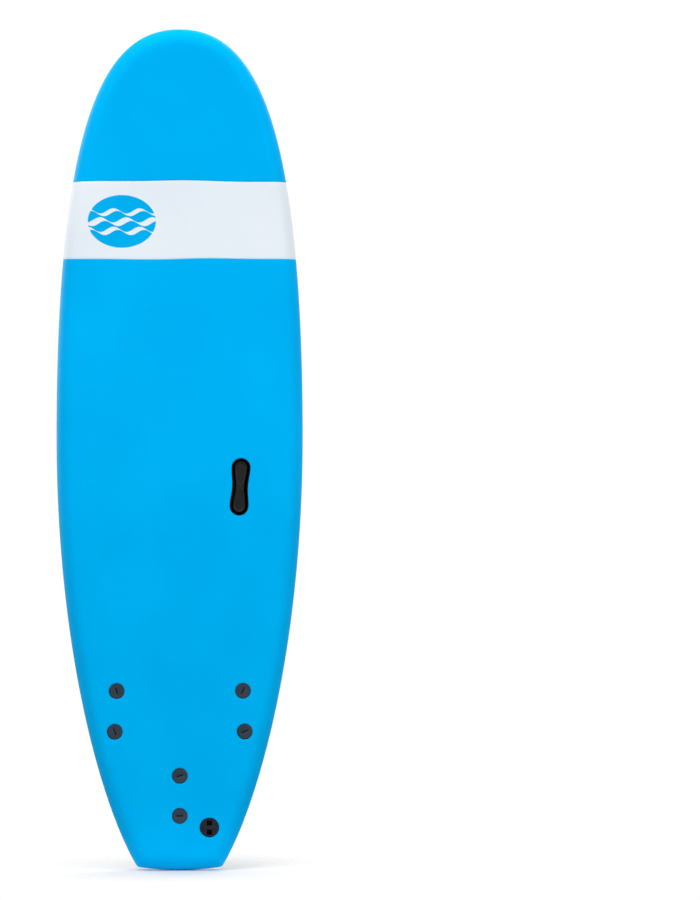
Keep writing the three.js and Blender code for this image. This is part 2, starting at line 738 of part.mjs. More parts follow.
board.add(piece('slick_skin', bottomSheet(0, SLICK_SKIN), COLOURS.slick, 0.28));
board.add(piece('bottom_foam', bottomSheet(SLICK_SKIN + GAP, BOTTOM_FOAM), COLOURS.foam, 0.85));

const strips = seamStrips();
board.add(piece('rail_seam_strip', strips.rail, COLOURS.seam, 0.5));
board.add(piece('tail_seam_strip', strips.tail, COLOURS.seam, 0.5));

for (const frame of finFrames) {
  const { name, group } = frame;
  group.add(piece(`fin_${name}`, fin(frame), COLOURS.fin, 0.42));
  for (const place of boltsOf(frame)) {
    const full = `${name}_${place.end}`;
    const fitted = [
      piece(`insert_${full}`, insert(), COLOURS.brass, 0.35, 0.9),
      piece(`bolt_${full}`, bolt(place), COLOURS.bolt, 0.45),
      piece(`tube_${full}`, tube(place), COLOURS.tube, 0.6),
    ];
    for (const mesh of fitted) mesh.position.z = place.z;
    group.add(...fitted);
  }
  board.add(group);
}

leashFrame.add(piece('leash_cup', leashCup(), COLOURS.leash, 0.4));
leashFrame.add(piece('leash_cap', leashCap(), COLOURS.cap, 0.4));
board.add(leashFrame);

handleFrame.add(piece('handle_cup', handleCup(), COLOURS.cup, 0.5));
handleFrame.add(piece('handle_strap', handleStrap(), COLOURS.strap, 0.75));
board.add(handleFrame);

export default board;
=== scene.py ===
import json
import math

import bmesh
import bpy
import numpy as np
from mathutils import Matrix, Vector
from mathutils.geometry import delaunay_2d_cdt


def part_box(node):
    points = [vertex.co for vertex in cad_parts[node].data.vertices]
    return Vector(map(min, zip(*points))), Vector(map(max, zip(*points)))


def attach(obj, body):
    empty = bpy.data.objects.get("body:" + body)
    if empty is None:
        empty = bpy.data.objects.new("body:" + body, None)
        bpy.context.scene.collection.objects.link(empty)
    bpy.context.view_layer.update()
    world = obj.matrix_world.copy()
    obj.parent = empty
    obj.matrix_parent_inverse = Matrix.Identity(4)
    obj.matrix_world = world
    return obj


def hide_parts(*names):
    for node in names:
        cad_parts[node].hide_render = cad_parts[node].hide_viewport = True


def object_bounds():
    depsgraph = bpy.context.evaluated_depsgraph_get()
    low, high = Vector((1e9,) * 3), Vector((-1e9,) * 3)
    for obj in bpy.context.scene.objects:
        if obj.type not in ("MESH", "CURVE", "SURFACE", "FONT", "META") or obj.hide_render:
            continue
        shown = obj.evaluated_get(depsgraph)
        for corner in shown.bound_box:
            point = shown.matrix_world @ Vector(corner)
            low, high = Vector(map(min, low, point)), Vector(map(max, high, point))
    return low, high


# A soft-top surfboard that stands on its tail: +Z points to the nose, -Y out of
# the deck, +Y out of the bottom, and +X to the right when facing the deck.
# Everything is in metres.

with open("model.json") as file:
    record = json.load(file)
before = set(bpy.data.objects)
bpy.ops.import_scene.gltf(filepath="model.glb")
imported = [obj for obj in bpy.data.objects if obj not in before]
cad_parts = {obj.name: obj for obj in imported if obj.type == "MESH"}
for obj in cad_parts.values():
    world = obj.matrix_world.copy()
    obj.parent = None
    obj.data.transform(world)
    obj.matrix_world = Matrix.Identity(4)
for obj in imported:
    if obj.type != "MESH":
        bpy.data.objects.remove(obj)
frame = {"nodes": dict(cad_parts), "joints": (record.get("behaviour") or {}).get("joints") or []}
cad_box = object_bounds()

# ---- The board's shape ----

TIP = cad_box[1].z
HALF_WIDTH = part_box("deck_skin_main")[1].x
GAP = 0.0003
THICKNESS = 0.06985
NOSE_THICKNESS = 0.046
TAIL_THICKNESS = 0.042
NOSE_ROCKER = 0.1
TAIL_ROCKER = 0.045
NOSE_ROCKER_POWER = 2.2
FLAT_HALF_LENGTH = 0.16
DECK_DOME = 0.005
WIDE_POINT = 0.0318
TAIL_HALF_WIDTH = 0.092
TAIL_CORNER = 0.908
TAIL_BULGE = 0.007
TAIL_CORNER_CUT = 0.0044
LEAST_CORNER_CUT = 0.0012
NOSE_CURVE = ((0, TIP), (0.1504, TIP), (HALF_WIDTH, WIDE_POINT + 0.728), (HALF_WIDTH, WIDE_POINT))
TAIL_CURVE = (
    (HALF_WIDTH, WIDE_POINT), (HALF_WIDTH, WIDE_POINT - 0.4788),
    (TAIL_HALF_WIDTH + 0.074, 0.119 - TAIL_CORNER), (TAIL_HALF_WIDTH, -TAIL_CORNER),
)
RAIL_APEX = 0.42
DECK_ROLL = 0.034
BOTTOM_ROLL = 0.0158
ROLL_FALL = 0.4  # the share of the bottom's roll that is gone at the tips
ROLL_FALL_FROM = 0.6
SEAM_ANGLE = 58.6
STRIP_ANGLE = SEAM_ANGLE + 1.2
DECK_SKIN = 0.006
SEAM_STRIP = 0.002
SLICK_SKIN = 0.0012
BAND_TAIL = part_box("deck_skin_band")[0].z - GAP / 2
BAND_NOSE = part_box("deck_skin_band")[1].z + GAP / 2
TAIL_STRIP_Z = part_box("rail_seam_strip")[0].z - GAP / 2

# How finely the board's surfaces are drawn.
NOSE_ROWS = 88
TAIL_ROWS = 60
CORNER_POINTS = 7
COLUMNS = 26
SPOT_SPACING = 0.014
HIDDEN_SPACING = 2.5 * SPOT_SPACING
ROW_STEP = 0.87  # of the spacing, so that the spots make even triangles


def bezier(curve, t):
    """The point and the direction of a cubic curve at t."""
    a, b, c, d = (Vector(p) for p in curve)
    s = 1 - t
    point = a * s**3 + b * (3 * s * s * t) + c * (3 * s * t * t) + d * t**3
    slope = (b - a) * (s * s) + (c - b) * (2 * s * t) + (d - c) * (t * t)
    return point, slope.normalized()


def rocker(z):
    beyond = max(0.0, abs(z) - FLAT_HALF_LENGTH) / (TIP - FLAT_HALF_LENGTH)
    return NOSE_ROCKER * beyond**NOSE_ROCKER_POWER if z > 0 else TAIL_ROCKER * beyond**2


def thickness(x, z):
    end = NOSE_THICKNESS if z > 0 else TAIL_THICKNESS
    dome = DECK_DOME * (x / HALF_WIDTH) ** 2
    return THICKNESS - (THICKNESS - end) * (z / TIP) ** 4 - dome


def bottom_y(x, z):
    return -rocker(z)


def deck_y(x, z):
    return -rocker(z) - thickness(x, z)


def middle_y(x, z):
    return (bottom_y(x, z) + deck_y(x, z)) / 2


def inset_at(lie, z):
    """How far inside the outline a ring lies at z. Its rolled share can fall towards the tips."""
    flat, rolled, fall = lie
    beyond = max(0, abs(z) - ROLL_FALL_FROM) / (TIP - ROLL_FALL_FROM)
    return flat + rolled * (1 - fall * beyond**2)


def rail_point(t, lie):
    """A point of the right rail moved inwards: t is 0 at the nose, 1 where widest, 2 at the tail."""
    curve, along = (NOSE_CURVE, t) if t < 1 else (TAIL_CURVE, t - 1)
    tangent = bezier(curve, min(along, 1))[1]
    point = bezier(curve, along)[0]
    return point + inset_at(lie, point.y) * Vector((tangent.y, -tangent.x))


def tail_end_z(x, lie):
    return TAIL_BULGE * (x / TAIL_HALF_WIDTH) ** 2 - TIP + inset_at(lie, -TIP)


def tail_corner(lie):
    low, high = 1.5, 2.15
    for _ in range(40):
        middle = (low + high) / 2
        point = rail_point(middle, lie)
        low, high = (middle, high) if point.y > tail_end_z(point.x, lie) else (low, middle)
    return low


def right_half(lie):
    """The right half of a ring, from the nose tip to the tail's end, with its corner rounded."""
    rows = [rail_point(i / NOSE_ROWS, lie) for i in range(NOSE_ROWS + 1)]
    corner = tail_corner(lie)
    rows += [rail_point(1 + (corner - 1) * i / TAIL_ROWS, lie) for i in range(1, TAIL_ROWS)]
    sharp = rail_point(corner, lie)
    cut = max(TAIL_CORNER_CUT - 0.4 * inset_at(lie, -TIP), LEAST_CORNER_CUT)
    before = sharp + (rail_point(corner - 0.02, lie) - sharp).normalized() * cut
    after = Vector((sharp.x - cut, tail_end_z(sharp.x - cut, lie)))
    for i in range(CORNER_POINTS + 1):
        t = i / CORNER_POINTS
        rows.append(before * (1 - t) ** 2 + sharp * (2 * t * (1 - t)) + after * t * t)
    rows[0].x = 0
    return rows


def board_ring(side, angle, depth=0.0, flat=None):
    """A ring round the board: angle is how far it has rolled over, from the rail (0) to the flat (90)."""
    turn = math.radians(angle)
    roll, fall = (DECK_ROLL, 0) if side == "deck" else (BOTTOM_ROLL, ROLL_FALL)
    lie = (depth * math.cos(turn) if flat is None else flat, roll * (1 - math.cos(turn)), fall)
    half = right_half(lie)
    last = half[-1]
    ends = [last.x * (1 - 2 * k / COLUMNS) for k in range(1, COLUMNS)]
    outline = half + [Vector((x, tail_end_z(x, lie))) for x in ends]
    outline += [Vector((-p.x, p.y)) for p in reversed(half[1:])]
    return [Vector((p.x, height(side, turn, depth, p.x, p.y), p.y)) for p in outline]


def board_rings(side, *places):
    """Rings round the board, from pairs of angle and depth."""
    return [board_ring(side, angle, depth) for angle, depth in places]


def height(side, turn, depth, x, z):
    thick = thickness(x, z)
    apex = bottom_y(x, z) - RAIL_APEX * thick
    if side == "deck":
        return apex - ((1 - RAIL_APEX) * thick - depth) * math.sin(turn)
    return apex + (RAIL_APEX * thick - depth) * math.sin(turn)


# ---- Meshes made of rings ----


class Shell:
    """Points and faces of one closed mesh, in the place that a matrix gives."""

    def __init__(self, matrix=None):
        self.matrix = matrix or Matrix()
        self.points = []
        self.faces = []
        self.kind = 0  # which of the piece's materials the next faces get

    def ring(self, points):
        start = len(self.points)
        self.points += [Vector(p) for p in points]
        return list(range(start, len(self.points)))

    def face(self, corners):
        self.faces.append((tuple(corners), self.kind))

    def bridge(self, one, two):
        for i, corner in enumerate(one):
            after = (i + 1) % len(one)
            self.face((corner, one[after], two[after], two[i]))

    def sweep(self, rings):
        """Joins rings of points one after another, and returns the first and the last."""
        made = [self.ring(points) for points in rings]
        for one, two in zip(made, made[1:]):
            self.bridge(one, two)
        return made[0], made[-1]

    def cap(self, rings):
        """Joins rings, closes the last one, and returns the first."""
        first, last = self.sweep(rings)
        self.fill(last)
        return first

    def fill(self, outer, holes=(), spots=(), place=None):
        """Fills a ring, but not its holes, with triangles. Spots are more points, put at place(x, z)."""
        loops = [outer, *holes]
        corners = [i for loop in loops for i in loop]
        edges, start = [], 0
        for loop in loops:
            edges += [(start + i, start + (i + 1) % len(loop)) for i in range(len(loop))]
            start += len(loop)
        given = xz(self.points[i] for i in corners) + [Vector(spot) for spot in spots]
        corners += self.ring([place(*spot) for spot in spots])
        found, _, faces, origins, _, _ = delaunay_2d_cdt(given, edges, [], 1, 1e-9)
        outlines = [xz(self.points[i] for i in loop) for loop in holes]
        for face in faces:
            centre = sum((found[i] for i in face), Vector((0, 0))) / len(face)
            if not any(inside(centre, outline) for outline in outlines):
                self.face(corners[origins[i][0]] for i in face)

    def bmesh(self):
        bm = bmesh.new()
        made = [bm.verts.new(self.matrix @ p) for p in self.points]
        for face, kind in self.faces:
            bm.faces.new([made[i] for i in face]).material_index = kind
        loose = [v for v in bm.verts if not v.link_faces]
        bmesh.ops.delete(bm, geom=loose, context="VERTS")
        bmesh.ops.recalc_face_normals(bm, faces=bm.faces)
        return bm


def xz(points):
    return [Vector((p.x, p.z)) for p in points]


def inside(point, outline):
    """Whether a flat point lies inside a flat outline."""
    hit = False
    for i, a in enumerate(outline):
        b = outline[i - 1]
        if (a.y > point.y) != (b.y > point.y):
            if point.x < (b.x - a.x) * (point.y - a.y) / (b.y - a.y) + a.x:
                hit = not hit
    return hit


def add_object(name, data):
    made = bpy.data.objects.new(name, data)
    bpy.context.scene.collection.objects.link(made)
    return made


def add_mesh(name, bm):
    mesh = bpy.data.meshes.new(name)
    bm.to_mesh(mesh)
    bm.free()
    return add_object(name, mesh), mesh


def put(name, bm, material, slot, *nodes, body="board", sharp=35):
    """Makes a piece of a bmesh: its body, its materials and the CAD nodes it stands for. The slot is not
    used.
    """
    made, mesh = add_mesh(name, bm)
    mesh.shade_smooth()
    mesh.set_sharp_from_angle(angle=math.radians(sharp))
    for each in material if isinstance(material, tuple) else (material,):
        mesh.materials.append(MATERIALS[each])
    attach(made, body)
    if nodes:
        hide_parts(*nodes)


def circle(radius, y, count, z=0.0, x=0.0):
    turns = [2 * math.pi * i / count for i in range(count)]
    return [Vector((x + radius * math.sin(a), y, z + radius * math.cos(a))) for a in turns]


def turned(profile, count, z=0.0, x=0.0):
    """Circles round an axis along Y, from pairs of radius and height."""
    return [circle(radius, y, count, z, x) for radius, y in profile]


def rounded_box(half, z0, z1, corner, y, count=5):
    """A ring round a rectangle in X and Z, with round corners."""
    points = []
    for k, (sx, z) in enumerate(((1, z1), (-1, z1), (-1, z0), (1, z0))):
        centre = Vector((sx * (half - corner), 0, z - corner if z == z1 else z + corner))
        for i in range(count + 1):
            turn = math.pi / 2 * (k + i / count)
            points.append(centre + corner * Vector((math.cos(turn), 0, math.sin(turn))))
            points[-1].y = y
    return points


# ---- Places on the board ----


def frame_on(surface, x, z, turn=0.0, lean=None):
    """A matrix at a surface's point, with its local Y along the surface's normal on the bottom's side."""
    lean = lean or surface
    step = 0.001
    slope_x = (lean(x + step, z) - lean(x - step, z)) / (2 * step)
    slope_z = (lean(x, z + step) - lean(x, z - step)) / (2 * step)
    normal = Vector((-slope_x, 1, -slope_z)).normalized()
    turned = Vector((0, 1, 0)).rotation_difference(normal).to_matrix().to_4x4()
    place = Matrix.Translation((x, surface(x, z), z))
    return place @ turned @ Matrix.Rotation(math.radians(turn), 4, "Y")


JOINTS = {joint["name"]: joint for joint in frame["joints"]}
JOINT_HEIGHT = -0.04  # how far along a bolt's local Y its joint's point lies from the bottom
SIDES = ("left", "right", "centre")
ENDS = ("front", "rear")


def fin_frame(side):
    """The fin's local frame, on the bottom between the bolts: Y out of the bottom, Z to the front."""
    front, rear = (Vector(JOINTS[f"bolt_{side}_{end}_turn"]["pos_m"]) for end in ENDS)
    y = -Vector(JOINTS[f"bolt_{side}_front_turn"]["axis"])
    z = (front - rear).normalized()
    x = y.cross(z)
    origin = (front + rear) / 2 - y * JOINT_HEIGHT
    return Matrix((x, y, z)).transposed().to_4x4(), origin, (front - rear).length


def fin_matrix(side, z=0.0):
    turned, origin, _ = fin_frame(side)
    return Matrix.Translation(origin) @ turned @ Matrix.Translation((0, 0, z))


def bolt_z(side, end):
    return fin_frame(side)[2] * (0.5 if end == "front" else -0.5)


def bolt_places():
    """Each bolt's side, end and local frame."""
    return [(side, end, fin_matrix(side, bolt_z(side, end))) for side in SIDES for end in ENDS]


LEASH_FRAME = frame_on(deck_y, 0.0644, -0.82, lean=middle_y)
HANDLE_FRAME = frame_on(deck_y, 0.1315, -0.0785, turn=3)


def ends_of(node, matrix):
    """A node's lowest and highest local Y in a frame."""
    back = matrix.inverted()
    heights = [(back @ v.co).y for v in frame["nodes"][node].data.vertices]
    return min(heights), max(heights)


# ---- Materials ----


def set_inputs(tree, node, inputs):
    """Links or sets a node's sockets, each by its number or by its name, with _ for a space."""
    for name, value in inputs.items():
        socket = node.inputs[name.replace("_", " ") if isinstance(name, str) else name]
        if isinstance(value, bpy.types.NodeSocket):
            tree.links.new(value, socket)
        elif socket.type == "RGBA" and len(value) == 3:
            socket.default_value = (*value, 1)
        else:
            socket.default_value = value


def add_node(tree, kind, out=0, options=(), numbered=(), **inputs):
    """Adds a shader node and returns one of its outputs."""
    made = tree.nodes.new("ShaderNode" + kind)
    for name, value in dict(options).items():
        setattr(made, name, value)
    set_inputs(tree, made, {**dict(numbered), **inputs})
    return made.outputs[out]


class Graph:
    """The nodes of one procedural material, on object coordinates in metres."""

    def __init__(self, name, colour, roughness, **settings):
        self.material = bpy.data.materials.new(name)
        self.material.use_nodes = True
        self.tree = self.material.node_tree
        self.shader = self.tree.nodes["Principled BSDF"]
        self.finish(Base_Color=colour, Roughness=roughness, **settings)
        self.place = self.node("TexCoord", "Object")

    def finish(self, **inputs):
        """Sets the shader's inputs, and returns the material."""
        set_inputs(self.tree, self.shader, inputs)
        return self.material

    def node(self, *said, **inputs):
        return add_node(self.tree, *said, **inputs)

    def stretched(self, scale):
        """The coordinates scaled by a vector."""
        return self.node("Mapping", Vector=self.place, Scale=scale)

    def noise(self, scale, detail=2.0, place=None, distortion=0.0, roughness=0.5):
        look = {"Scale": scale, "Detail": detail, "Distortion": distortion, "Roughness": roughness}
        return self.node("TexNoise", Vector=place or self.place, **look)

    def ramp(self, value, low, high, out_low=0.0, out_high=1.0):
        """Value from low to high becomes out_low to out_high, and stays there beyond them."""
        ends = {"From_Min": low, "From_Max": high, "To_Min": out_low, "To_Max": out_high}
        eased = {"interpolation_type": "SMOOTHSTEP"}
        return self.node("MapRange", "Result", eased, Value=value, **ends)

    def math(self, operation, a, b):
        return self.node("Math", 0, {"operation": operation}, {0: a, 1: b})

    def times(self, a, b):
        return self.math("MULTIPLY", a, b)

    def mix(self, share, one, two):
        """A colour between two, which are sockets 6 and 7 of the node."""
        return self.node("Mix", 2, {"data_type": "RGBA"}, {0: share, 6: one, 7: two})

    def bump(self, layers):
        """Stacks bumps: each layer is a height socket and a depth in metres."""
        below = {}
        for value, depth in layers:
            below = {"Normal": self.node("Bump", Height=value, Distance=depth, Strength=1.0, **below)}
        self.finish(**below)


def linear(red, green, blue):
    """An sRGB colour of 0 to 255 as linear values."""
    values = (channel / 255 for channel in (red, green, blue))
    return tuple(v / 12.92 if v <= 0.04045 else ((v + 0.055) / 1.055) ** 2.4 for v in values)


def foam_skin(name, bright, dim, sheen):
    """Closed-cell foam sheet with a fine heat-rolled skin: slight mottling, fine cells and soft sheen."""
    bright, dim, sheen = linear(*bright), linear(*dim), linear(*sheen)
    g = Graph(name, bright, 0.5, Specular_IOR_Level=0.07, Specular_Tint=sheen)
    patches = g.ramp(g.noise(5.0, 3.0), 0.3, 0.7)
    cells = g.noise(1500.0, 2.0)
    grain = g.noise(420.0, 3.0)
    tone = g.mix(patches, dim, bright)
    tone = g.mix(g.ramp(cells, 0.35, 0.75, 0.0, 0.1), tone, dim)
    g.bump([(g.noise(60.0, 2.0), 0.00025), (grain, 0.00014), (cells, 0.0001)])
    return g.finish(Base_Color=tone, Roughness=g.ramp(grain, 0.3, 0.7, 0.42, 0.54))


def slick_plastic():
    """Off-white plastic sheet with blue-grey pigment drawn out lengthwise, and clouds at the nose."""
    g = Graph("slick_plastic", linear(240, 243, 238), 0.26, Specular_IOR_Level=0.4)
    x, z = (g.node("SeparateXYZ", axis, Vector=g.place) for axis in "XZ")
    fan = g.math("DIVIDE", x, g.math("SUBTRACT", 1.3, g.times(z, 0.6)))
    wander = g.times(g.math("SUBTRACT", g.noise(4.0, 2.0), 0.5), 0.05)
    across = g.math("ADD", fan, wander)

    def drawn(wide, long, offset, detail=3.0, roughness=0.5):
        """Noise stretched along the fan: how many grains a metre across and along."""
        place = g.node("CombineXYZ", X=g.times(across, wide), Y=offset, Z=g.times(z, long))
        return g.noise(1.0, detail, place, 0.3, roughness)

    where = g.ramp(drawn(14.0, 2.2, 3.1), 0.48, 0.62)
    smears = g.times(g.ramp(drawn(70.0, 4.6, 7.7), 0.58, 0.7), where)
    body = drawn(90.0, 3.0, 12.9, 4.0, 0.6)
    edge = g.math("ABSOLUTE", g.math("SUBTRACT", body, 0.6), 0.0)
    cores = g.times(g.ramp(edge, 0.0, 0.02, 1.0, 0.0), g.ramp(drawn(22.0, 5.0, 5.5), 0.5, 0.6))
    dashes = g.ramp(drawn(130.0, 6.0, 9.4, 2.0), 0.66, 0.72)
    hooks = g.ramp(drawn(110.0, 26.0, 1.9, 4.0, 0.7), 0.7, 0.78)
    washes = g.ramp(drawn(34.0, 0.9, 15.2), 0.4, 0.68)
    tone = g.mix(washes, linear(246, 248, 241), linear(238, 243, 239))
    banks = g.noise(1.0, 4.0, g.stretched((5.0, 0.0, 13.0)), 0.6)
    clouds = g.times(g.ramp(banks, 0.5, 0.56), g.ramp(z, 0.36, 0.5))
    layers = (
        (smears, 0.8, (172, 193, 216)), (cores, 0.85, (96, 126, 168)),
        (g.times(dashes, where), 0.9, (100, 130, 172)), (hooks, 0.6, (120, 140, 164)),
        (clouds, 0.75, (252, 253, 252)),
    )
    for mask, share, colour in layers:
        tone = g.mix(g.times(mask, share), tone, linear(*colour))
    scuffs = g.noise(1.0, 3.0, g.stretched((900.0, 900.0, 14.0)))
    g.bump([(g.noise(9.0, 1.0), 0.0005), (scuffs, 0.000012)])
    return g.finish(Base_Color=tone, Roughness=g.ramp(scuffs, 0.3, 0.7, 0.22, 0.34))


def moulded(name, colour, worn, roughness, grain=1600.0, depth=0.00003, specular=0.35):
    """Moulded plastic or rubber: a fine spark-eroded grain, slight flow marks and worn edges."""
    colour, worn = linear(*colour), linear(*worn)
    g = Graph(name, colour, roughness, Specular_IOR_Level=specular)
    fine = g.noise(grain, 2.0)
    flow = g.noise(26.0, 3.0, distortion=0.8)
    edges = g.ramp(g.node("NewGeometry", "Pointiness"), 0.52, 0.6)
    tone = g.mix(g.ramp(flow, 0.3, 0.7, 0.0, 0.35), colour, worn)
    tone = g.mix(g.times(edges, 0.5), tone, worn)
    g.bump([(flow, 0.00004), (fine, depth)])
    low, high = roughness - 0.06, roughness + 0.08
    return g.finish(Base_Color=tone, Roughness=g.ramp(flow, 0.3, 0.7, low, high))


def bead_foam():
    """Expanded bead foam, cut: round beads with fine joints."""
    g = Graph("bead_foam", linear(244, 244, 240), 0.9)
    beads = g.node("TexVoronoi", "Distance", Vector=g.place, Scale=260.0)
    tone = g.mix(g.ramp(beads, 0.3, 0.8), linear(246, 246, 243), linear(222, 222, 216))
    g.bump([(beads, -0.0004)])
    return g.finish(Base_Color=tone)


def fine_foam(name, light, dark):
    """Dense sheet or block foam with fine cells."""
    light, dark = linear(*light), linear(*dark)
    g = Graph(name, light, 0.85)
    cells = g.node("TexVoronoi", "Distance", Vector=g.place, Scale=900.0)
    g.bump([(cells, -0.0002)])
    return g.finish(Base_Color=g.mix(g.ramp(cells, 0.2, 0.8), light, dark))


def wood():
    """Thin plywood with its grain lengthwise."""
    g = Graph("stringer_ply", linear(200, 162, 106), 0.6)
    grain = g.noise(1.0, 5.0, g.stretched((60.0, 160.0, 5.0)), 1.2)
    g.bump([(grain, 0.00015)])
    return g.finish(Base_Color=g.mix(grain, linear(178, 136, 84), linear(214, 180, 126)))


def brass():
    """Turned brass with tool marks."""
    g = Graph("turned_brass", linear(190, 150, 70), 0.3, Metallic=1.0)
    marks = g.noise(1.0, 2.0, g.stretched((200.0, 4000.0, 200.0)))
    g.bump([(marks, 0.00002)])
    return g.finish(Roughness=g.ramp(marks, 0.3, 0.7, 0.22, 0.4))


MATERIALS = {
    "blue": foam_skin("blue_foam", (0, 183, 250), (0, 177, 245), (0, 190, 255)),
    "white": foam_skin("white_foam", (236, 243, 250), (230, 239, 248), (1, 1, 1)),
    "print": foam_skin("blue_print", (2, 180, 244), (2, 174, 240), (0, 190, 255)),
    "slick": slick_plastic(),
    "strip": moulded("seam_strip_film", (0, 171, 230), (0, 178, 236), 0.5, 700.0, specular=0.05),
    "ink": moulded("blue_ink", (0, 170, 234), (0, 174, 238), 0.45, 900.0, 0.00001, 0.1),
    "fin": moulded("fin_nylon", (34, 34, 41), (62, 63, 71), 0.42),
    "bolt": moulded("bolt_nylon", (44, 57, 71), (56, 70, 86), 0.5, specular=0.2),
    # Painted shade: near-black nylon on the bolts' coin slots and the fins' dimples, darkening those
    # hollows where shade falls.
    "painted_shade": moulded("shaded_nylon", (12, 16, 21), (20, 25, 32), 0.7, specular=0.1),
    "tube": moulded("tube_plastic", (184, 190, 194), (200, 205, 208), 0.5),
    "plug": moulded("leash_plug", (22, 28, 36), (36, 43, 52), 0.5, specular=0.2),
    "cap": moulded("leash_cap_plastic", (31, 29, 34), (46, 44, 50), 0.46, specular=0.25),
    "cup": moulded("handle_cup_plastic", (3, 3, 5), (10, 10, 12), 0.5, specular=0.15),
    "strap": moulded("strap_rubber", (17, 16, 19), (31, 30, 34), 0.5, 900.0, 0.00008, 0.25),
    "bead": bead_foam(),
    "block": fine_foam("block_foam", (230, 226, 214), (205, 200, 186)),
    "sheet": fine_foam("bottom_foam_sheet", (236, 241, 243), (214, 222, 226)),
    "wood": wood(),
    "brass": brass(),
}


def dress_inner_nodes():
    """The CAD's own pieces that stay hidden inside get their materials."""
    kinds = {"core": "bead", "stringer": "wood", "bottom_foam": "sheet", "insert": "brass"}
    kinds.update(tube="tube", handle_block="block", leash_block="block")
    for name, node in frame["nodes"].items():
        for start, kind in kinds.items():
            if name.startswith(start):
                node.data.materials.clear()
                node.data.materials.append(MATERIALS[kind])


# ---- Deck skin ----

HEAD_HOLE = 0.0173
LEASH_HOLE = 0.0213
HANDLE_HOLE = (0.0205, 0.0172)
HANDLE_LOBE_CENTRE = 0.0422
# How a hole's foam edge rolls over, as pairs of distance out from its wall and depth.
FOAM_LIP = (
    (0.0045, 0.0), (0.0018, 0.00004), (0.0009, 0.00018), (0.0004, 0.0004), (0.0001, 0.0009), (0.0, 0.0015),
)
PLASTIC_LIP = ((0.003, 0.0), (0.0007, 0.0), (0.0003, 0.0001), (0.0001, 0.0003), (0.0, 0.0006))


def dog_bone(lobe, waist, y, arc=18, side=11):
    """A ring with two round lobes and a narrower waist."""
    centre = HANDLE_LOBE_CENTRE
    high, low = 0.6 * centre, 0.4 * centre
    quarter = []
    for i in range(arc):
        turn = math.pi / 2 * (1 - i / arc)
        quarter.append((lobe * math.cos(turn), centre + lobe * math.sin(turn)))
    curve = ((lobe, centre), (lobe, high), (waist, low), (waist, 0))
    quarter += [tuple(bezier(curve, i / side)[0]) for i in range(side)]
    right = quarter + [(waist, 0)] + [(x, -z) for x, z in reversed(quarter)]
    return [Vector((x, y, z)) for x, z in right] + [Vector((-x, y, z)) for x, z in reversed(right[1:-1])]


def on_surface(points, matrix, surface, depth):
    """Puts points of a local frame on a surface of the board, sunk by a depth along Y."""
    placed = (matrix @ point for point in points)
    return [Vector((p.x, surface(p.x, p.z) + depth, p.z)) for p in placed]


def lipped_hole(shell, outline, matrix, surface, lip, sign, wall):
    """Sweeps a hole's rolled edge and its wall down to a depth. Returns the first and last ring."""
    rings = [on_surface(outline(grow), matrix, surface, sign * depth) for grow, depth in lip]
    rings.append(on_surface(outline(0), matrix, surface, sign * wall))
    return shell.sweep(rings)


def deck_holes():
    """Each hole of the deck skin as its outline, a function of how much it grows, and its frame."""
    holes = []
    for side, end, matrix in bolt_places():
        top = ends_of(f"bolt_{side}_{end}", matrix)[0]
        holes.append((lambda grow, y=top: circle(HEAD_HOLE + grow, y, 56), matrix))
    holes.append((lambda grow: circle(LEASH_HOLE + grow, 0, 64), LEASH_FRAME))
    holes.append((lambda grow: dog_bone(HANDLE_HOLE[0] + grow, HANDLE_HOLE[1] + grow, 0), HANDLE_FRAME))
    return holes


def spots_in(ring, outlines, spacing):
    """A staggered grid of points inside a ring of the board, clear of its edge and of the outlines."""
    upwards = ring[: NOSE_ROWS + TAIL_ROWS + CORNER_POINTS][::-1]
    zs, xs = np.array([p.z for p in upwards]), np.array([p.x for p in upwards])
    spots = []
    row = 0
    z = zs[0] + spacing * 0.7
    while z < zs[-1] - spacing * 0.4:
        half = float(np.interp(z, zs, xs)) - spacing * 0.6
        count = int(half / spacing)
        for k in range(-count - 1, count + 2):
            x = (k + 0.5 * (row % 2)) * spacing
            spot = Vector((x, z))
            if abs(x) < half and not any(inside(spot, outline) for outline in outlines):
                spots.append((x, z))
        z += spacing * ROW_STEP
        row += 1
    return spots


def grown(holes, surface, distance):
    return [xz(on_surface(outline(distance), matrix, surface, 0)) for outline, matrix in holes]


def fill_flats(shell, flats, holes, made, surface):
    """Fills a skin's two flats: their rings, depths, and their spots' distance from holes and spacing."""
    outline = [shell.points[i] for i in flats[0][0]]
    for k, (ring, depth, clear, spacing) in enumerate(flats):
        spots = spots_in(outline, grown(holes, surface, clear), spacing)
        place = lambda x, z: Vector((x, surface(x, z) + depth, z))
        shell.fill(ring, [rings[k] for rings in made], spots, place)


def deck_shell():
    shell = Shell()
    step = SEAM_STRIP + GAP
    outside = [board_ring("deck", angle) for angle in range(90, -1, -9)]
    outside += [board_ring("bottom", angle) for angle in (9, 18, 27, 36, 45, 52, 56, 57.6)]
    edge = ((58.3, 0.0001), (SEAM_ANGLE, 0.0005), (SEAM_ANGLE, step), (90, step))
    back = [board_ring("bottom", angle, DECK_SKIN) for angle in (90, SEAM_ANGLE, 45, 30, 15)]
    back += [board_ring("deck", angle, DECK_SKIN) for angle in range(0, 91, 15)]
    first, last = shell.sweep(outside + board_rings("bottom", *edge) + back)
    holes = deck_holes()
    made = [lipped_hole(shell, *hole, deck_y, FOAM_LIP, 1, DECK_SKIN) for hole in holes]
    outer = (first, 0, FOAM_LIP[0][0] + SPOT_SPACING / 2, SPOT_SPACING)
    fill_flats(shell, (outer, (last, DECK_SKIN, 0.012, HIDDEN_SPACING)), holes, made, deck_y)
    return shell.bmesh()


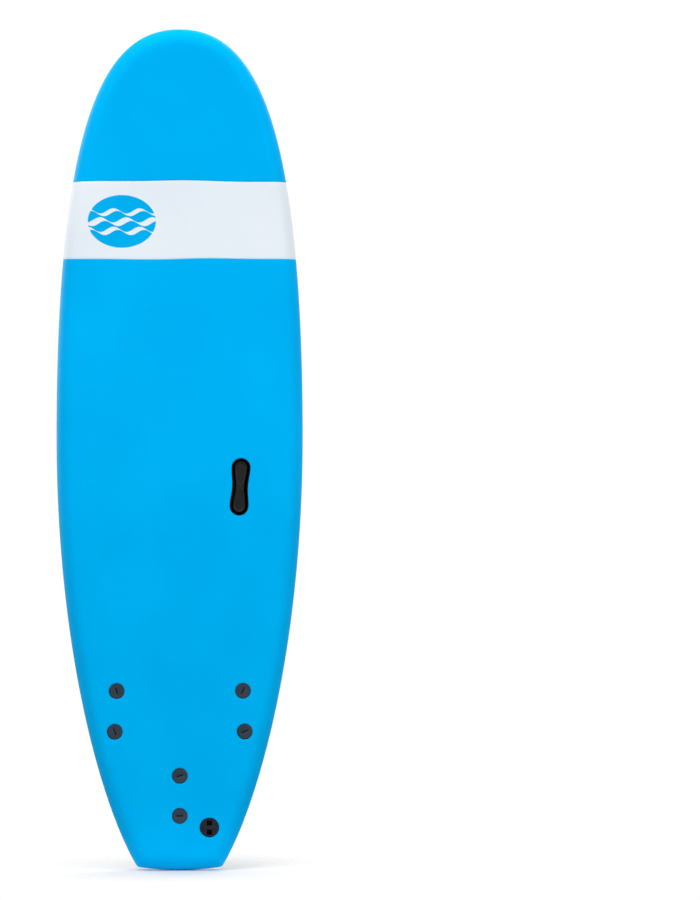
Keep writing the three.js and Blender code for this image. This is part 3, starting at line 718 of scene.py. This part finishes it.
# How the joint between two skins dips: distance from it and depth.
JOINT_DIP = ((0.0, 0.0006), (0.0004, 0.0003), (0.001, 0.00008), (0.002, 0.0))
JOINT_WAVE = 0.0012
WAVE_REACH = 0.02  # how far from a joint its wander fades out


def dip_joints(bm, places):
    """Draws a fine groove across a shell at each place along Z."""
    for z in places:
        for distance, _ in JOINT_DIP:
            for sign in (-1, 1) if distance else (1,):
                cut_plane(bm, z + sign * distance)
    bm.normal_update()
    for v in bm.verts:
        for z in places:
            away = abs(v.co.z - z)
            for distance, depth in JOINT_DIP:
                if depth and abs(away - distance) < 1e-5:
                    v.co += v.normal * -depth


def cut_plane(bm, z, **cleared):
    """Cuts a shell across at z. cleared says which side is taken away, if any."""
    geometry = [*bm.verts, *bm.edges, *bm.faces]
    bmesh.ops.bisect_plane(bm, geom=geometry, dist=1e-6, plane_co=(0, 0, z), plane_no=(0, 0, 1), **cleared)


def part_of(bm, low, high):
    """A copy of a shell between two heights, with its cut ends closed."""
    part = bm.copy()
    cut_plane(part, low, clear_inner=True)
    cut_plane(part, high, clear_outer=True)
    open_edges = [e for e in part.edges if e.is_boundary]
    if open_edges:
        bmesh.ops.triangle_fill(part, edges=open_edges, use_beauty=False)
        bmesh.ops.recalc_face_normals(part, faces=part.faces)
    return part


def wave_joints(bm, places):
    """The joints aren't ruled: they wander by about a millimetre."""
    for v in bm.verts:
        for k, z in enumerate(places):
            near = math.exp(-(((v.co.z - z) / WAVE_REACH) ** 2))
            wave = math.sin(14 * v.co.x + 1.7 * k) + 0.5 * math.sin(31 * v.co.x + k)
            move = JOINT_WAVE * wave * near
            old = deck_y(v.co.x, v.co.z)
            v.co.z += move
            v.co.y += deck_y(v.co.x, v.co.z) - old


def deck_skins():
    whole = deck_shell()
    joints = (BAND_TAIL, BAND_NOSE)
    dip_joints(whole, joints)
    parts = (("nose", BAND_NOSE, 1, "blue"), ("band", *joints, "white"), ("main", -1, BAND_TAIL, "blue"))
    for name, low, high, colour in parts:
        part = part_of(whole, low, high)
        wave_joints(part, joints)
        put(f"foam_deck_{name}", part, colour, f"{colour}_foam_skin", f"deck_skin_{name}")
    whole.free()


# ---- Bottom ----

CAP_HOLE = 0.0203
TUBE_HOLE = 0.0103
# The seam strip from its outer edge to its inner one, as pairs of angle and depth.
STRIP_PROFILE = (
    (STRIP_ANGLE, SEAM_STRIP), (STRIP_ANGLE, 0.0005), (STRIP_ANGLE + 0.5, 0.00012), (STRIP_ANGLE + 1.8, 0),
    (66, 0), (71, 0), (76, 0), (81, 0), (85, 0), (88, 0.00003), (89.6, 0.00015), (90, 0.0005),
    (90, SEAM_STRIP),
)


def seam_strips():
    """A thin welded strip between the deck skin and the slick bottom."""
    shell = Shell()
    first, last = shell.sweep(board_rings("bottom", *STRIP_PROFILE))
    shell.bridge(last, first)
    whole = shell.bmesh()
    dip_joints(whole, (TAIL_STRIP_Z,))
    for name, low, high in (("rail", TAIL_STRIP_Z, 1), ("tail", -1, TAIL_STRIP_Z)):
        part = part_of(whole, low, high)
        put(f"{name}_welded_strip", part, "strip", "seam_strip", f"{name}_seam_strip")
    whole.free()


def slick_holes():
    holes = [(lambda grow: circle(TUBE_HOLE + grow, 0, 40), matrix) for _, _, matrix in bolt_places()]
    face = ends_of("leash_cap", LEASH_FRAME)[1]
    holes.append((lambda grow: circle(CAP_HOLE + grow, face, 64), LEASH_FRAME))
    return holes


def slick_skin():
    shell = Shell()
    profile = ((0, SLICK_SKIN), (0, 0.0005), (0.0001, 0.0002), (0.0004, 0.00005), (0.001, 0))
    rings = [board_ring("bottom", 90, depth, GAP + inset) for inset, depth in profile]
    first, last = shell.sweep(rings)
    holes = slick_holes()
    made = [lipped_hole(shell, *hole, bottom_y, PLASTIC_LIP, -1, SLICK_SKIN) for hole in holes]
    clear = PLASTIC_LIP[0][0] + SPOT_SPACING / 2
    flats = ((last, 0, clear, SPOT_SPACING), (first, -SLICK_SKIN, clear, HIDDEN_SPACING))
    fill_flats(shell, flats, holes, made, bottom_y)
    put("slick_bottom_skin", shell.bmesh(), "slick", "slick_bottom", "slick_skin")


# ---- Fins ----

PLATE_LENGTH = 0.146
PLATE_WIDTH = 0.045
PLATE_THICKNESS = 0.0034
LEAF_POWER = 0.72
# The plate's edge from its underside to its top: how far in, and how high.
PLATE_EDGE = (
    (0.0004, 0.0003), (0.0001, 0.0005), (0.0, 0.0009), (0.0, 0.0018), (0.0002, 0.0022),
    (0.0006, 0.0025), (0.0022, 0.0031), (0.0029, 0.0033), (0.0038, PLATE_THICKNESS),
)
POST_RADIUS = 0.0079
POST_LENGTH = 0.03
INSERT_HOLE = 0.0058
INSERT_HOLE_DEPTH = 0.021
# The post from the plate down to its end, and up its hole: radius and height.
POST_PROFILE = (
    (POST_RADIUS + 0.0008, 0.0003), (POST_RADIUS + 0.0002, 0.0001), (POST_RADIUS, -0.0005),
    (POST_RADIUS, 0.0006 - POST_LENGTH), (POST_RADIUS - 0.0006, -POST_LENGTH), (INSERT_HOLE, -POST_LENGTH),
    (INSERT_HOLE, INSERT_HOLE_DEPTH - POST_LENGTH),
)
BLADE_DEPTH = 0.115
BLADE_ROOT = 0.0065
BLADE_TIP = 0.0025
LEADING_EDGE = ((0.053, 0.01), (0.012, 0.55), (-0.054, 0.97), (-0.122, 1))
TRAILING_EDGE = ((-0.067, 0.01), (-0.06, 0.36), (-0.093, 0.74), (-0.131, 0.94))
FILLET = 0.0022
FILLET_STEPS = 6
BLADE_START = 0.012  # how far out the first section is, as a share of the blade
BLADE_SECTIONS = 30
SECTION_POWER = 1.1
LEAST_RISE = 0.0004  # between one section and the next
BLADE_POINTS = 44
DIMPLES = ((0.0088, 0.024), (-0.0088, 0.024), (0.0088, -0.027), (-0.0088, -0.027))
DIMPLE_RADIUS = 0.0016
DIMPLE_PROFILE = (
    (DIMPLE_RADIUS, PLATE_THICKNESS), (DIMPLE_RADIUS * 0.85, PLATE_THICKNESS - 0.0006),
    (DIMPLE_RADIUS * 0.6, PLATE_THICKNESS - 0.0015),
)


def leaf(inset, y, count=120):
    points = []
    for i in range(count):
        turn = 2 * math.pi * i / count
        across = math.copysign((1 - math.cos(turn) ** 2) ** LEAF_POWER, math.sin(turn))
        x = (PLATE_WIDTH / 2 - inset) * across
        points.append(Vector((x, y, (PLATE_LENGTH / 2 - inset) * math.cos(turn))))
    return points


def foil(share):
    """Half the blade's thickness at a share of its chord, as a share of the greatest."""
    u = min(max(share, 0.0), 1.0)
    shape = 0.2969 * math.sqrt(u) - 0.126 * u - 0.3516 * u**2 + 0.2843 * u**3 - 0.1036 * u**4
    return max(shape / 0.1, 0.0) * 0.94 + 0.06 * math.sin(math.pi * u) ** 0.5


def blade_section(share, lean, grow=0.0, y=None):
    """A ring round the blade. share is how far out it is, and grow makes it larger all round."""
    front = bezier(LEADING_EDGE, share)[0]
    back = bezier(TRAILING_EDGE, share)[0]
    front, back = (Vector((p.x, p.y * BLADE_DEPTH)) for p in (front, back))
    along = (front - back).normalized()
    front, back = front + along * grow, back - along * grow * 0.25
    half = BLADE_ROOT / 2 + (BLADE_TIP - BLADE_ROOT) / 2 * share
    points = []
    for k in range(BLADE_POINTS):
        turn = 2 * math.pi * k / BLADE_POINTS
        u = (1 - math.cos(turn)) / 2
        middle = front.lerp(back, u)
        side = math.copysign(1, math.sin(turn)) if abs(math.sin(turn)) > 1e-9 else 0
        x = side * (half * foil(u) + grow * math.sin(math.pi * u) ** 0.35)
        high = middle.y if y is None else y
        points.append(Vector((x + lean * high, high, middle.x)))
    return points


def fin_shell(side, lean):
    shell = Shell(fin_matrix(side))
    under, top = shell.sweep([leaf(inset, y) for inset, y in PLATE_EDGE])
    posts = [shell.cap(turned(POST_PROFILE, 40, bolt_z(side, end))) for end in ENDS]
    shell.fill(under, posts)
    # The blade's root curves out to meet the plate, and then sections follow to its tip.
    rings = []
    for k in range(FILLET_STEPS):
        turn = math.pi / 2 * k / FILLET_STEPS
        rise = PLATE_THICKNESS + FILLET * (1 - math.cos(turn))
        rings.append(blade_section(BLADE_START, lean, FILLET * (1 - math.sin(turn)), rise))
    floor = PLATE_THICKNESS + FILLET
    for k in range(1, BLADE_SECTIONS + 1):
        section = blade_section((k / BLADE_SECTIONS) ** SECTION_POWER, lean)
        rings.append([Vector((p.x, max(p.y, floor + LEAST_RISE * k), p.z)) for p in section])
    tip = rings[-1]
    centre = sum(tip, Vector()) / len(tip)
    for scale, out in ((0.86, 0.0004), (0.5, 0.0008)):
        rings.append([centre + (p - centre) * scale + Vector((0, out, -out)) for p in tip])
    root = shell.cap(rings)
    # The dimples get the painted shade nylon, darker than the fin, for the shade in them.
    shell.kind = 1
    dimples = [shell.cap(turned(DIMPLE_PROFILE, 20, z, x)) for x, z in DIMPLES]
    shell.kind = 0
    shell.fill(top, [root, *dimples])
    return shell.bmesh()


def fins():
    for side, lean in (("left", -2), ("right", 2), ("centre", 0)):
        node = f"fin_{side}"
        bm = fin_shell(side, math.tan(math.radians(lean)))
        put(f"moulded_{node}", bm, ("fin", "painted_shade"), "fin_plastic", node, body=node)


# ---- Bolts and tubes ----

HEAD_RADIUS = 0.0167
HEAD_HEIGHT = 0.003
SHANK = 0.004
PLAIN_SHANK = 0.02  # the length under the head that has no thread
PITCH = 0.00175
THREAD_DEPTH = 0.0004
SLOT_LENGTH = 0.015
SLOT_WIDTH = 0.002
SLOT_DEPTH = 0.0014
SLOT_TURNS = {"left": (-18, -23), "right": (27, 70), "centre": (73, 90)}  # of the front and rear bolt
# The head's edge from its top face outwards and down: radius taken off, and depth.
HEAD_EDGE = ((0.0026, 0.00002), (0.0013, 0.00006), (0.0006, 0.0002), (0.0002, 0.0005), (0.0, 0.001))


def slot_rings(half, length, depth, turn, y, sign):
    """The rings of a coin slot with eased edges, from its mouth down to its floor."""
    steps = ((0.0003, 0.0), (0.0001, 0.00012), (0.0, 0.0004), (0.0, depth - 0.0003), (-0.0002, depth))
    rotate = Matrix.Rotation(math.radians(turn), 3, "Y")
    rings = []
    for grow, down in steps:
        ring = rounded_box(half + grow, -length / 2 - grow, length / 2 + grow, (half + grow) * 0.7, 0)
        rings.append([rotate @ p + Vector((0, y + sign * down, 0)) for p in ring])
    return rings


def bolts():
    for side, end, matrix in bolt_places():
        node = f"bolt_{side}_{end}"
        top, tip = ends_of(node, matrix)
        shell = Shell(matrix)
        under = top + HEAD_HEIGHT
        profile = [(HEAD_RADIUS - less, top + down) for less, down in HEAD_EDGE]
        profile += [(HEAD_RADIUS, under - 0.0003), (HEAD_RADIUS - 0.0003, under)]
        profile += [(SHANK + 0.0006, under), (SHANK, under + 0.0006)]
        rim = shell.cap(turned(profile + thread(under + PLAIN_SHANK, tip), 64))
        # The coin slot gets the painted shade nylon, for the shade inside it.
        shell.kind = 1
        turn = SLOT_TURNS[side][ENDS.index(end)]
        mouth = shell.cap(slot_rings(SLOT_WIDTH / 2, SLOT_LENGTH, SLOT_DEPTH, turn, top, 1))
        shell.kind = 0
        shell.fill(rim, [mouth])
        put(f"slotted_{node}", shell.bmesh(), ("bolt", "painted_shade"), "bolt_plastic", node, body=node)


def thread(start, tip):
    """The bolt's thread as fine ridges, as pairs of radius and height."""
    pairs = []
    y = start
    while y < tip - 0.002:
        pairs += [(SHANK, y), (SHANK - THREAD_DEPTH, y + PITCH / 2)]
        y += PITCH
    return pairs + [(SHANK, tip - 0.0008), (SHANK - 0.0008, tip)]


def tubes():
    """The plastic tubes that line the bolt holes and seat the bolts' heads."""
    for side, end, matrix in bolt_places():
        node = f"tube_{side}_{end}"
        top, foot = ends_of(node, matrix)
        inner, outer, seat = 0.0082, 0.01, 0.0168
        profile = (
            (inner, top), (seat, top), (seat, top + 0.0022), (outer, top + 0.0022),
            (outer, foot - 0.0002), (outer - 0.0002, foot), (inner + 0.0003, foot), (inner, foot - 0.0003),
        )
        shell = Shell(matrix)
        first, last = shell.sweep(turned(profile, 56))
        shell.bridge(last, first)
        put(f"lining_{node}", shell.bmesh(), "tube", "tube_plastic", node)


# ---- Leash plug ----

COIN_SLOT_LENGTH = 0.0177
COIN_SLOT_WIDTH = 0.005
COIN_SLOT_DEPTH = 0.0013


def leash_cup():
    shell = Shell(LEASH_FRAME)
    sunk, radius, flange, body, stem = 0.0003, 0.021, 0.0049, 0.0185, 0.01
    outside = [
        (radius - 0.0016, sunk), (radius - 0.0008, sunk + 0.0001), (radius - 0.0002, sunk + 0.0004),
        (radius, sunk + 0.0009), (radius, sunk + flange), (body, sunk + flange), (body, 0.0235),
        (body - 0.0005, 0.024), (stem, 0.024), (stem, 0.034), (0.0064, 0.034), (0.0064, 0.022),
    ]
    rim = shell.cap(turned(outside, 72))
    half, bar = 0.0055, 0.0055
    steps = ((0.0006, sunk), (0.0002, sunk + 0.0002), (0.0, sunk + 0.0007), (0.0, bar))
    windows = []
    for z0, z1 in ((0.004, 0.0145), (-0.016, -0.0048)):
        rings = [rounded_box(half + g, z0 - g, z1 + g, 0.0009 + g, y) for g, y in steps]
        windows.append(shell.sweep(rings))
    # Under the bar the windows open into one channel with a sloping tail end.
    channel = (
        (0.0004, -0.0164, 0.0149, bar), (0.0002, -0.0145, 0.0149, bar + 0.004),
        (0.0, -0.0115, 0.0145, 0.016), (-0.001, -0.01, 0.0135, 0.017),
    )
    roof = shell.cap([rounded_box(half + grow, z0, z1, 0.0012, y) for grow, z0, z1, y in channel])
    shell.fill(roof, [w[1] for w in windows])
    shell.fill(rim, [w[0] for w in windows])
    put("leash_plug_cup", shell.bmesh(), "plug", "plug_plastic", "leash_cup")


def leash_cap():
    shell = Shell(LEASH_FRAME)
    face = ends_of("leash_cap", LEASH_FRAME)[1]
    radius, flange, spigot, start = 0.02, 0.0057, 0.006, 0.025
    outside = [
        (radius - 0.0021, face), (radius - 0.0015, face - 0.0001), (radius - 0.0003, face - 0.0012),
        (radius, face - 0.0016), (radius, face - flange), (spigot, face - flange), (spigot, start + 0.0005),
        (spigot - 0.0005, start),
    ]
    rim = shell.cap(turned(outside, 72))
    mouth = shell.cap(slot_rings(COIN_SLOT_WIDTH / 2, COIN_SLOT_LENGTH, COIN_SLOT_DEPTH, 0, face, -1))
    shell.fill(rim, [mouth])
    put("leash_plug_cap", shell.bmesh(), "cap", "cap_plastic", "leash_cap")


# ---- Carry handle ----

CUP = (0.0202, 0.0169)
CUP_WALL = 0.0022
CUP_DEPTH = 0.026
PEDESTAL = 0.011
STRAP = (0.0132, 0.0086)
STRAP_TOP = 0.0008
STRAP_THICKNESS = 0.004
STRAP_RISE = 0.0022
STRAP_CROWN = 0.0009
PINCH_DEPTH = 0.0014
PINCH_WIDTH = 0.0015
PINCH_REACH = 0.012
PINCH_ANGLE = math.radians(28)


def handle_cup():
    shell = Shell(HANDLE_FRAME)
    bone = lambda less, y: dog_bone(CUP[0] - less, CUP[1] - less, y)
    floor_y = CUP_DEPTH - CUP_WALL
    profile = (
        (0.0, CUP_DEPTH), (0.0, 0.0006), (0.0002, 0.0002), (0.0006, 0.0), (0.0016, 0.0),
        (0.002, 0.0002), (CUP_WALL, 0.0007), (CUP_WALL, floor_y - 0.003), (0.0026, floor_y - 0.0015),
        (0.0038, floor_y - 0.0004), (0.0055, floor_y),
    )
    base, floor = shell.sweep([bone(less, y) for less, y in profile])
    top = STRAP_TOP + STRAP_THICKNESS + GAP
    pedestal = (
        (PEDESTAL + 0.0012, floor_y), (PEDESTAL + 0.0002, floor_y - 0.001),
        (PEDESTAL, top + 0.0004), (PEDESTAL - 0.0004, top),
    )
    feet = [shell.cap(turned(pedestal, 40, z)) for z in (HANDLE_LOBE_CENTRE, -HANDLE_LOBE_CENTRE)]
    shell.fill(floor, feet)
    shell.fill(base)
    put("handle_recess_cup", shell.bmesh(), "cup", "cup_plastic", "handle_cup")


def strap_height(x, z):
    """The strap's face: two raised tongues that meet in a crossed pinch at the middle."""
    edge = 0.0
    for sign in (-1, 1):
        away = abs(x * math.cos(PINCH_ANGLE) + sign * z * math.sin(PINCH_ANGLE))
        edge += math.exp(-((away / PINCH_WIDTH) ** 2)) * math.exp(-((z / PINCH_REACH) ** 4))
    crown = STRAP_CROWN * math.cos(min(abs(x) / 0.013, 1) * math.pi / 2)
    return STRAP_TOP + STRAP_RISE - crown - PINCH_DEPTH * min(edge, 1.0)


def handle_strap():
    shell = Shell(HANDLE_FRAME)
    bone = lambda less, y: dog_bone(STRAP[0] - less, STRAP[1] - less, y)
    end = STRAP_TOP + STRAP_THICKNESS
    profile = (
        (0.0006, end), (0.0001, end - 0.0005), (0.0, end - 0.0012), (0.0, STRAP_TOP + 0.0012),
        (0.0003, STRAP_TOP + 0.0005), (0.0009, STRAP_TOP + 0.0001), (0.0015, STRAP_TOP),
        (0.0022, STRAP_TOP + 0.0003), (0.0027, STRAP_TOP + 0.0007),
    )
    base, top = shell.sweep([bone(less, y) for less, y in profile])
    shell.fill(base)
    outline = xz(bone(0.0036, 0))
    spots = []
    spacing = 0.0013
    count = int((HANDLE_LOBE_CENTRE + STRAP[0]) / spacing)
    for row in range(-count, count + 1):
        for column in range(-11, 12):
            spot = Vector(((column + 0.5 * (row % 2)) * spacing, row * spacing))
            if inside(spot, outline):
                spots.append(tuple(spot))
    shell.fill(top, [], spots, lambda x, z: Vector((x, strap_height(x, z), z)))
    put("handle_grip_strap", shell.bmesh(), "strap", "strap_rubber", "handle_strap", sharp=50)


# ---- Printed marks ----

PRINT_PROUD = 0.00012
PRINT_BACK = 0.0004
LEAST_STROKE = 0.0004
EMBLEM_LEVELS = (-2, -0.42, -0.3, -0.08, 0.06, 0.3, 0.4, 2)  # where its waves start and end, of its radius


def sheet_on(name, strips, surface, sign, material, slot):
    """Thin print on a surface. A strip is pairs of flat points, one on each side of it."""
    bm = bmesh.new()
    for strip in strips:
        layers = []
        for depth in (-sign * PRINT_PROUD, sign * PRINT_BACK):
            layers.append([
                [bm.verts.new((x, surface(x, z) + depth, z)) for x, z in pair] for pair in strip
            ])
        face, back = layers
        for (a, b), (c, d), (e, f), (g, h) in zip(face, face[1:], back, back[1:]):
            for corners in ((a, b, d, c), (f, e, g, h), (a, c, g, e), (b, f, h, d)):
                bm.faces.new(corners)
        for (a, b), (e, f) in ((face[0], back[0]), (face[-1], back[-1])):
            bm.faces.new((a, b, f, e))
    bmesh.ops.recalc_face_normals(bm, faces=bm.faces)
    put(name, bm, material, slot)


def emblem(cx, cz, radius, wide=1.3):
    """An oval emblem of waves: the parts of a disc between rolling gaps, drawn wider."""

    def wave(x, level):
        return level + 0.1 * radius * math.sin(2.6 * math.pi * x / radius + 9 * level / radius)

    levels = [radius * share for share in EMBLEM_LEVELS]
    strips = []
    count = 110
    for low, high in zip(levels[::2], levels[1::2]):
        strip = []
        for i in range(count + 1):
            x = -radius * math.cos(math.pi * i / count)
            reach = math.sqrt(max(radius**2 - x**2, 0.0))
            bottom = max(wave(x, low), -reach)
            top = min(wave(x, high), reach)
            if top - bottom > LEAST_STROKE:
                strip.append(((cx + wide * x, cz + bottom), (cx + wide * x, cz + top)))
            else:
                strips.append(strip)
                strip = []
        strips.append(strip)
    return [strip for strip in strips if len(strip) > 1]


def brush(length, cx, cz, wave, weight, count=90):
    """A wavy brush stroke that thins at its ends."""
    shares = [i / count for i in range(count + 1)]
    points = [Vector((cx + (t - 0.5) * length, cz + wave(t))) for t in shares]
    pairs = []
    for i, (t, p) in enumerate(zip(shares, points)):
        along = (points[min(i + 1, count)] - points[max(i - 1, 0)]).normalized()
        width = weight * (0.12 + 0.88 * math.sin(math.pi * t) ** 0.4)
        side = Vector((-along.y, along.x)) * width / 2
        pairs.append((tuple(p - side), tuple(p + side)))
    return pairs


def printed_marks():
    centre_z = (BAND_TAIL + BAND_NOSE) / 2
    deck = emblem(-0.126, centre_z - 0.003, 0.057)
    sheet_on("deck_round_emblem", deck, deck_y, 1, "print", "blue_foam_skin")
    bottom = emblem(0.105, 0.546, 0.06)
    sheet_on("bottom_round_emblem", bottom, bottom_y, -1, "ink", "seam_strip")
    swell = lambda t: 0.013 * math.sin(5 * math.pi * t) * (1 - 0.5 * t)
    level = lambda t: 0.0
    strokes = [brush(0.132, 0, -0.502, swell, 0.012), brush(0.142, 0, -0.53, level, 0.0055)]
    strokes += [brush(0.011, (k - 3.5) * 0.0178, -0.558, level, 0.0045, 10) for k in range(8)]
    sheet_on("bottom_wave_mark", strokes, bottom_y, -1, "ink", "seam_strip")


# ---- Studio ----

FRAME_HEIGHT = 900
BOARD_TOP_TO_TAIL = 838  # how tall the board is in a frame of that height
LENS = 170.0
SENSOR = 36.0
FLOOR_RADIUS = 0.42
CAMERA_HEIGHT = 0.002
ACROSS = 0.3715  # how far right of the board the middle of the frame lies


def camera():
    data = bpy.data.cameras.new("camera")
    data.lens = LENS
    data.sensor_width = SENSOR
    data.clip_end = 100
    made = add_object("camera", data)
    view = 2 * TIP * FRAME_HEIGHT / BOARD_TOP_TO_TAIL
    distance = view * LENS / SENSOR
    made.location = (0, deck_y(0, 0) - distance, CAMERA_HEIGHT)
    aim = Vector((ACROSS, deck_y(0, 0), CAMERA_HEIGHT)) - made.location
    made.rotation_euler = aim.to_track_quat("-Z", "Y").to_euler()
    bpy.context.scene.camera = made


def softbox(name, place, size, power):
    data = bpy.data.lights.new(name, "AREA")
    data.shape = "RECTANGLE"
    data.size, data.size_y = size
    data.energy = power
    made = add_object(name, data)
    made.location = place
    made.rotation_euler = (-Vector(place)).to_track_quat("-Z", "Y").to_euler()
    made.visible_camera = False


def floor_paper():
    """Near-white paper that fades out round the board."""
    g = Graph("floor_paper", linear(228, 228, 230), 0.9, Specular_IOR_Level=0.05)
    away = g.node("VectorMath", 1, {"operation": "LENGTH"}, Vector=g.place)
    blend = {0: g.ramp(away, 0.03, FLOOR_RADIUS), 1: g.shader.outputs[0], 2: g.node("BsdfTransparent")}
    set_inputs(g.tree, g.tree.nodes["Material Output"], {"Surface": g.node("MixShader", 0, (), blend)})
    return g.material


def studio():
    bm = bmesh.new()
    bmesh.ops.create_circle(bm, cap_ends=True, segments=64, radius=FLOOR_RADIUS)
    floor, mesh = add_mesh("floor", bm)
    floor.location.z = cad_box[0].z - 0.0005
    mesh.materials.append(floor_paper())
    for side, key, over, low in ((-1, 132, 28, 1), (1, 114, 6, 30)):
        softbox("key", (side * 2.6, side * 3.2, 3.4), (3.0, 3.0), key)
        softbox("fill", (-side * 3.4, side * 3.0, 1.2), (2.4, 2.4), key / 2)
        softbox("over", (0, side * 1.6, 3.2), (2.6, 1.2), over)
        softbox("low", (0, side * 3.4, -1.6), (3.0, 1.2), low)
    scene = bpy.context.scene
    world = bpy.data.worlds.new("studio")
    scene.world = world
    world.use_nodes = True
    tree = world.node_tree
    # Less light comes from below than from above, and the camera sees plain white.
    up = add_node(tree, "SeparateXYZ", "Z", Vector=add_node(tree, "TexCoord", "Generated"))
    sky = add_node(tree, "MapRange", Value=up, From_Min=-0.6, From_Max=0.2, To_Min=0.26, To_Max=0.52)
    seen = add_node(tree, "LightPath", "Is Camera Ray")
    strength = add_node(tree, "MapRange", Value=seen, To_Min=sky, To_Max=1.02)
    set_inputs(tree, tree.nodes["Background"], {"Color": (1, 1, 1), "Strength": strength})
    scene.view_settings.view_transform = "Standard"


camera()
deck_skins()
seam_strips()
slick_skin()
fins()
bolts()
tubes()
leash_cup()
leash_cap()
handle_cup()
handle_strap()
printed_marks()
dress_inner_nodes()
studio()
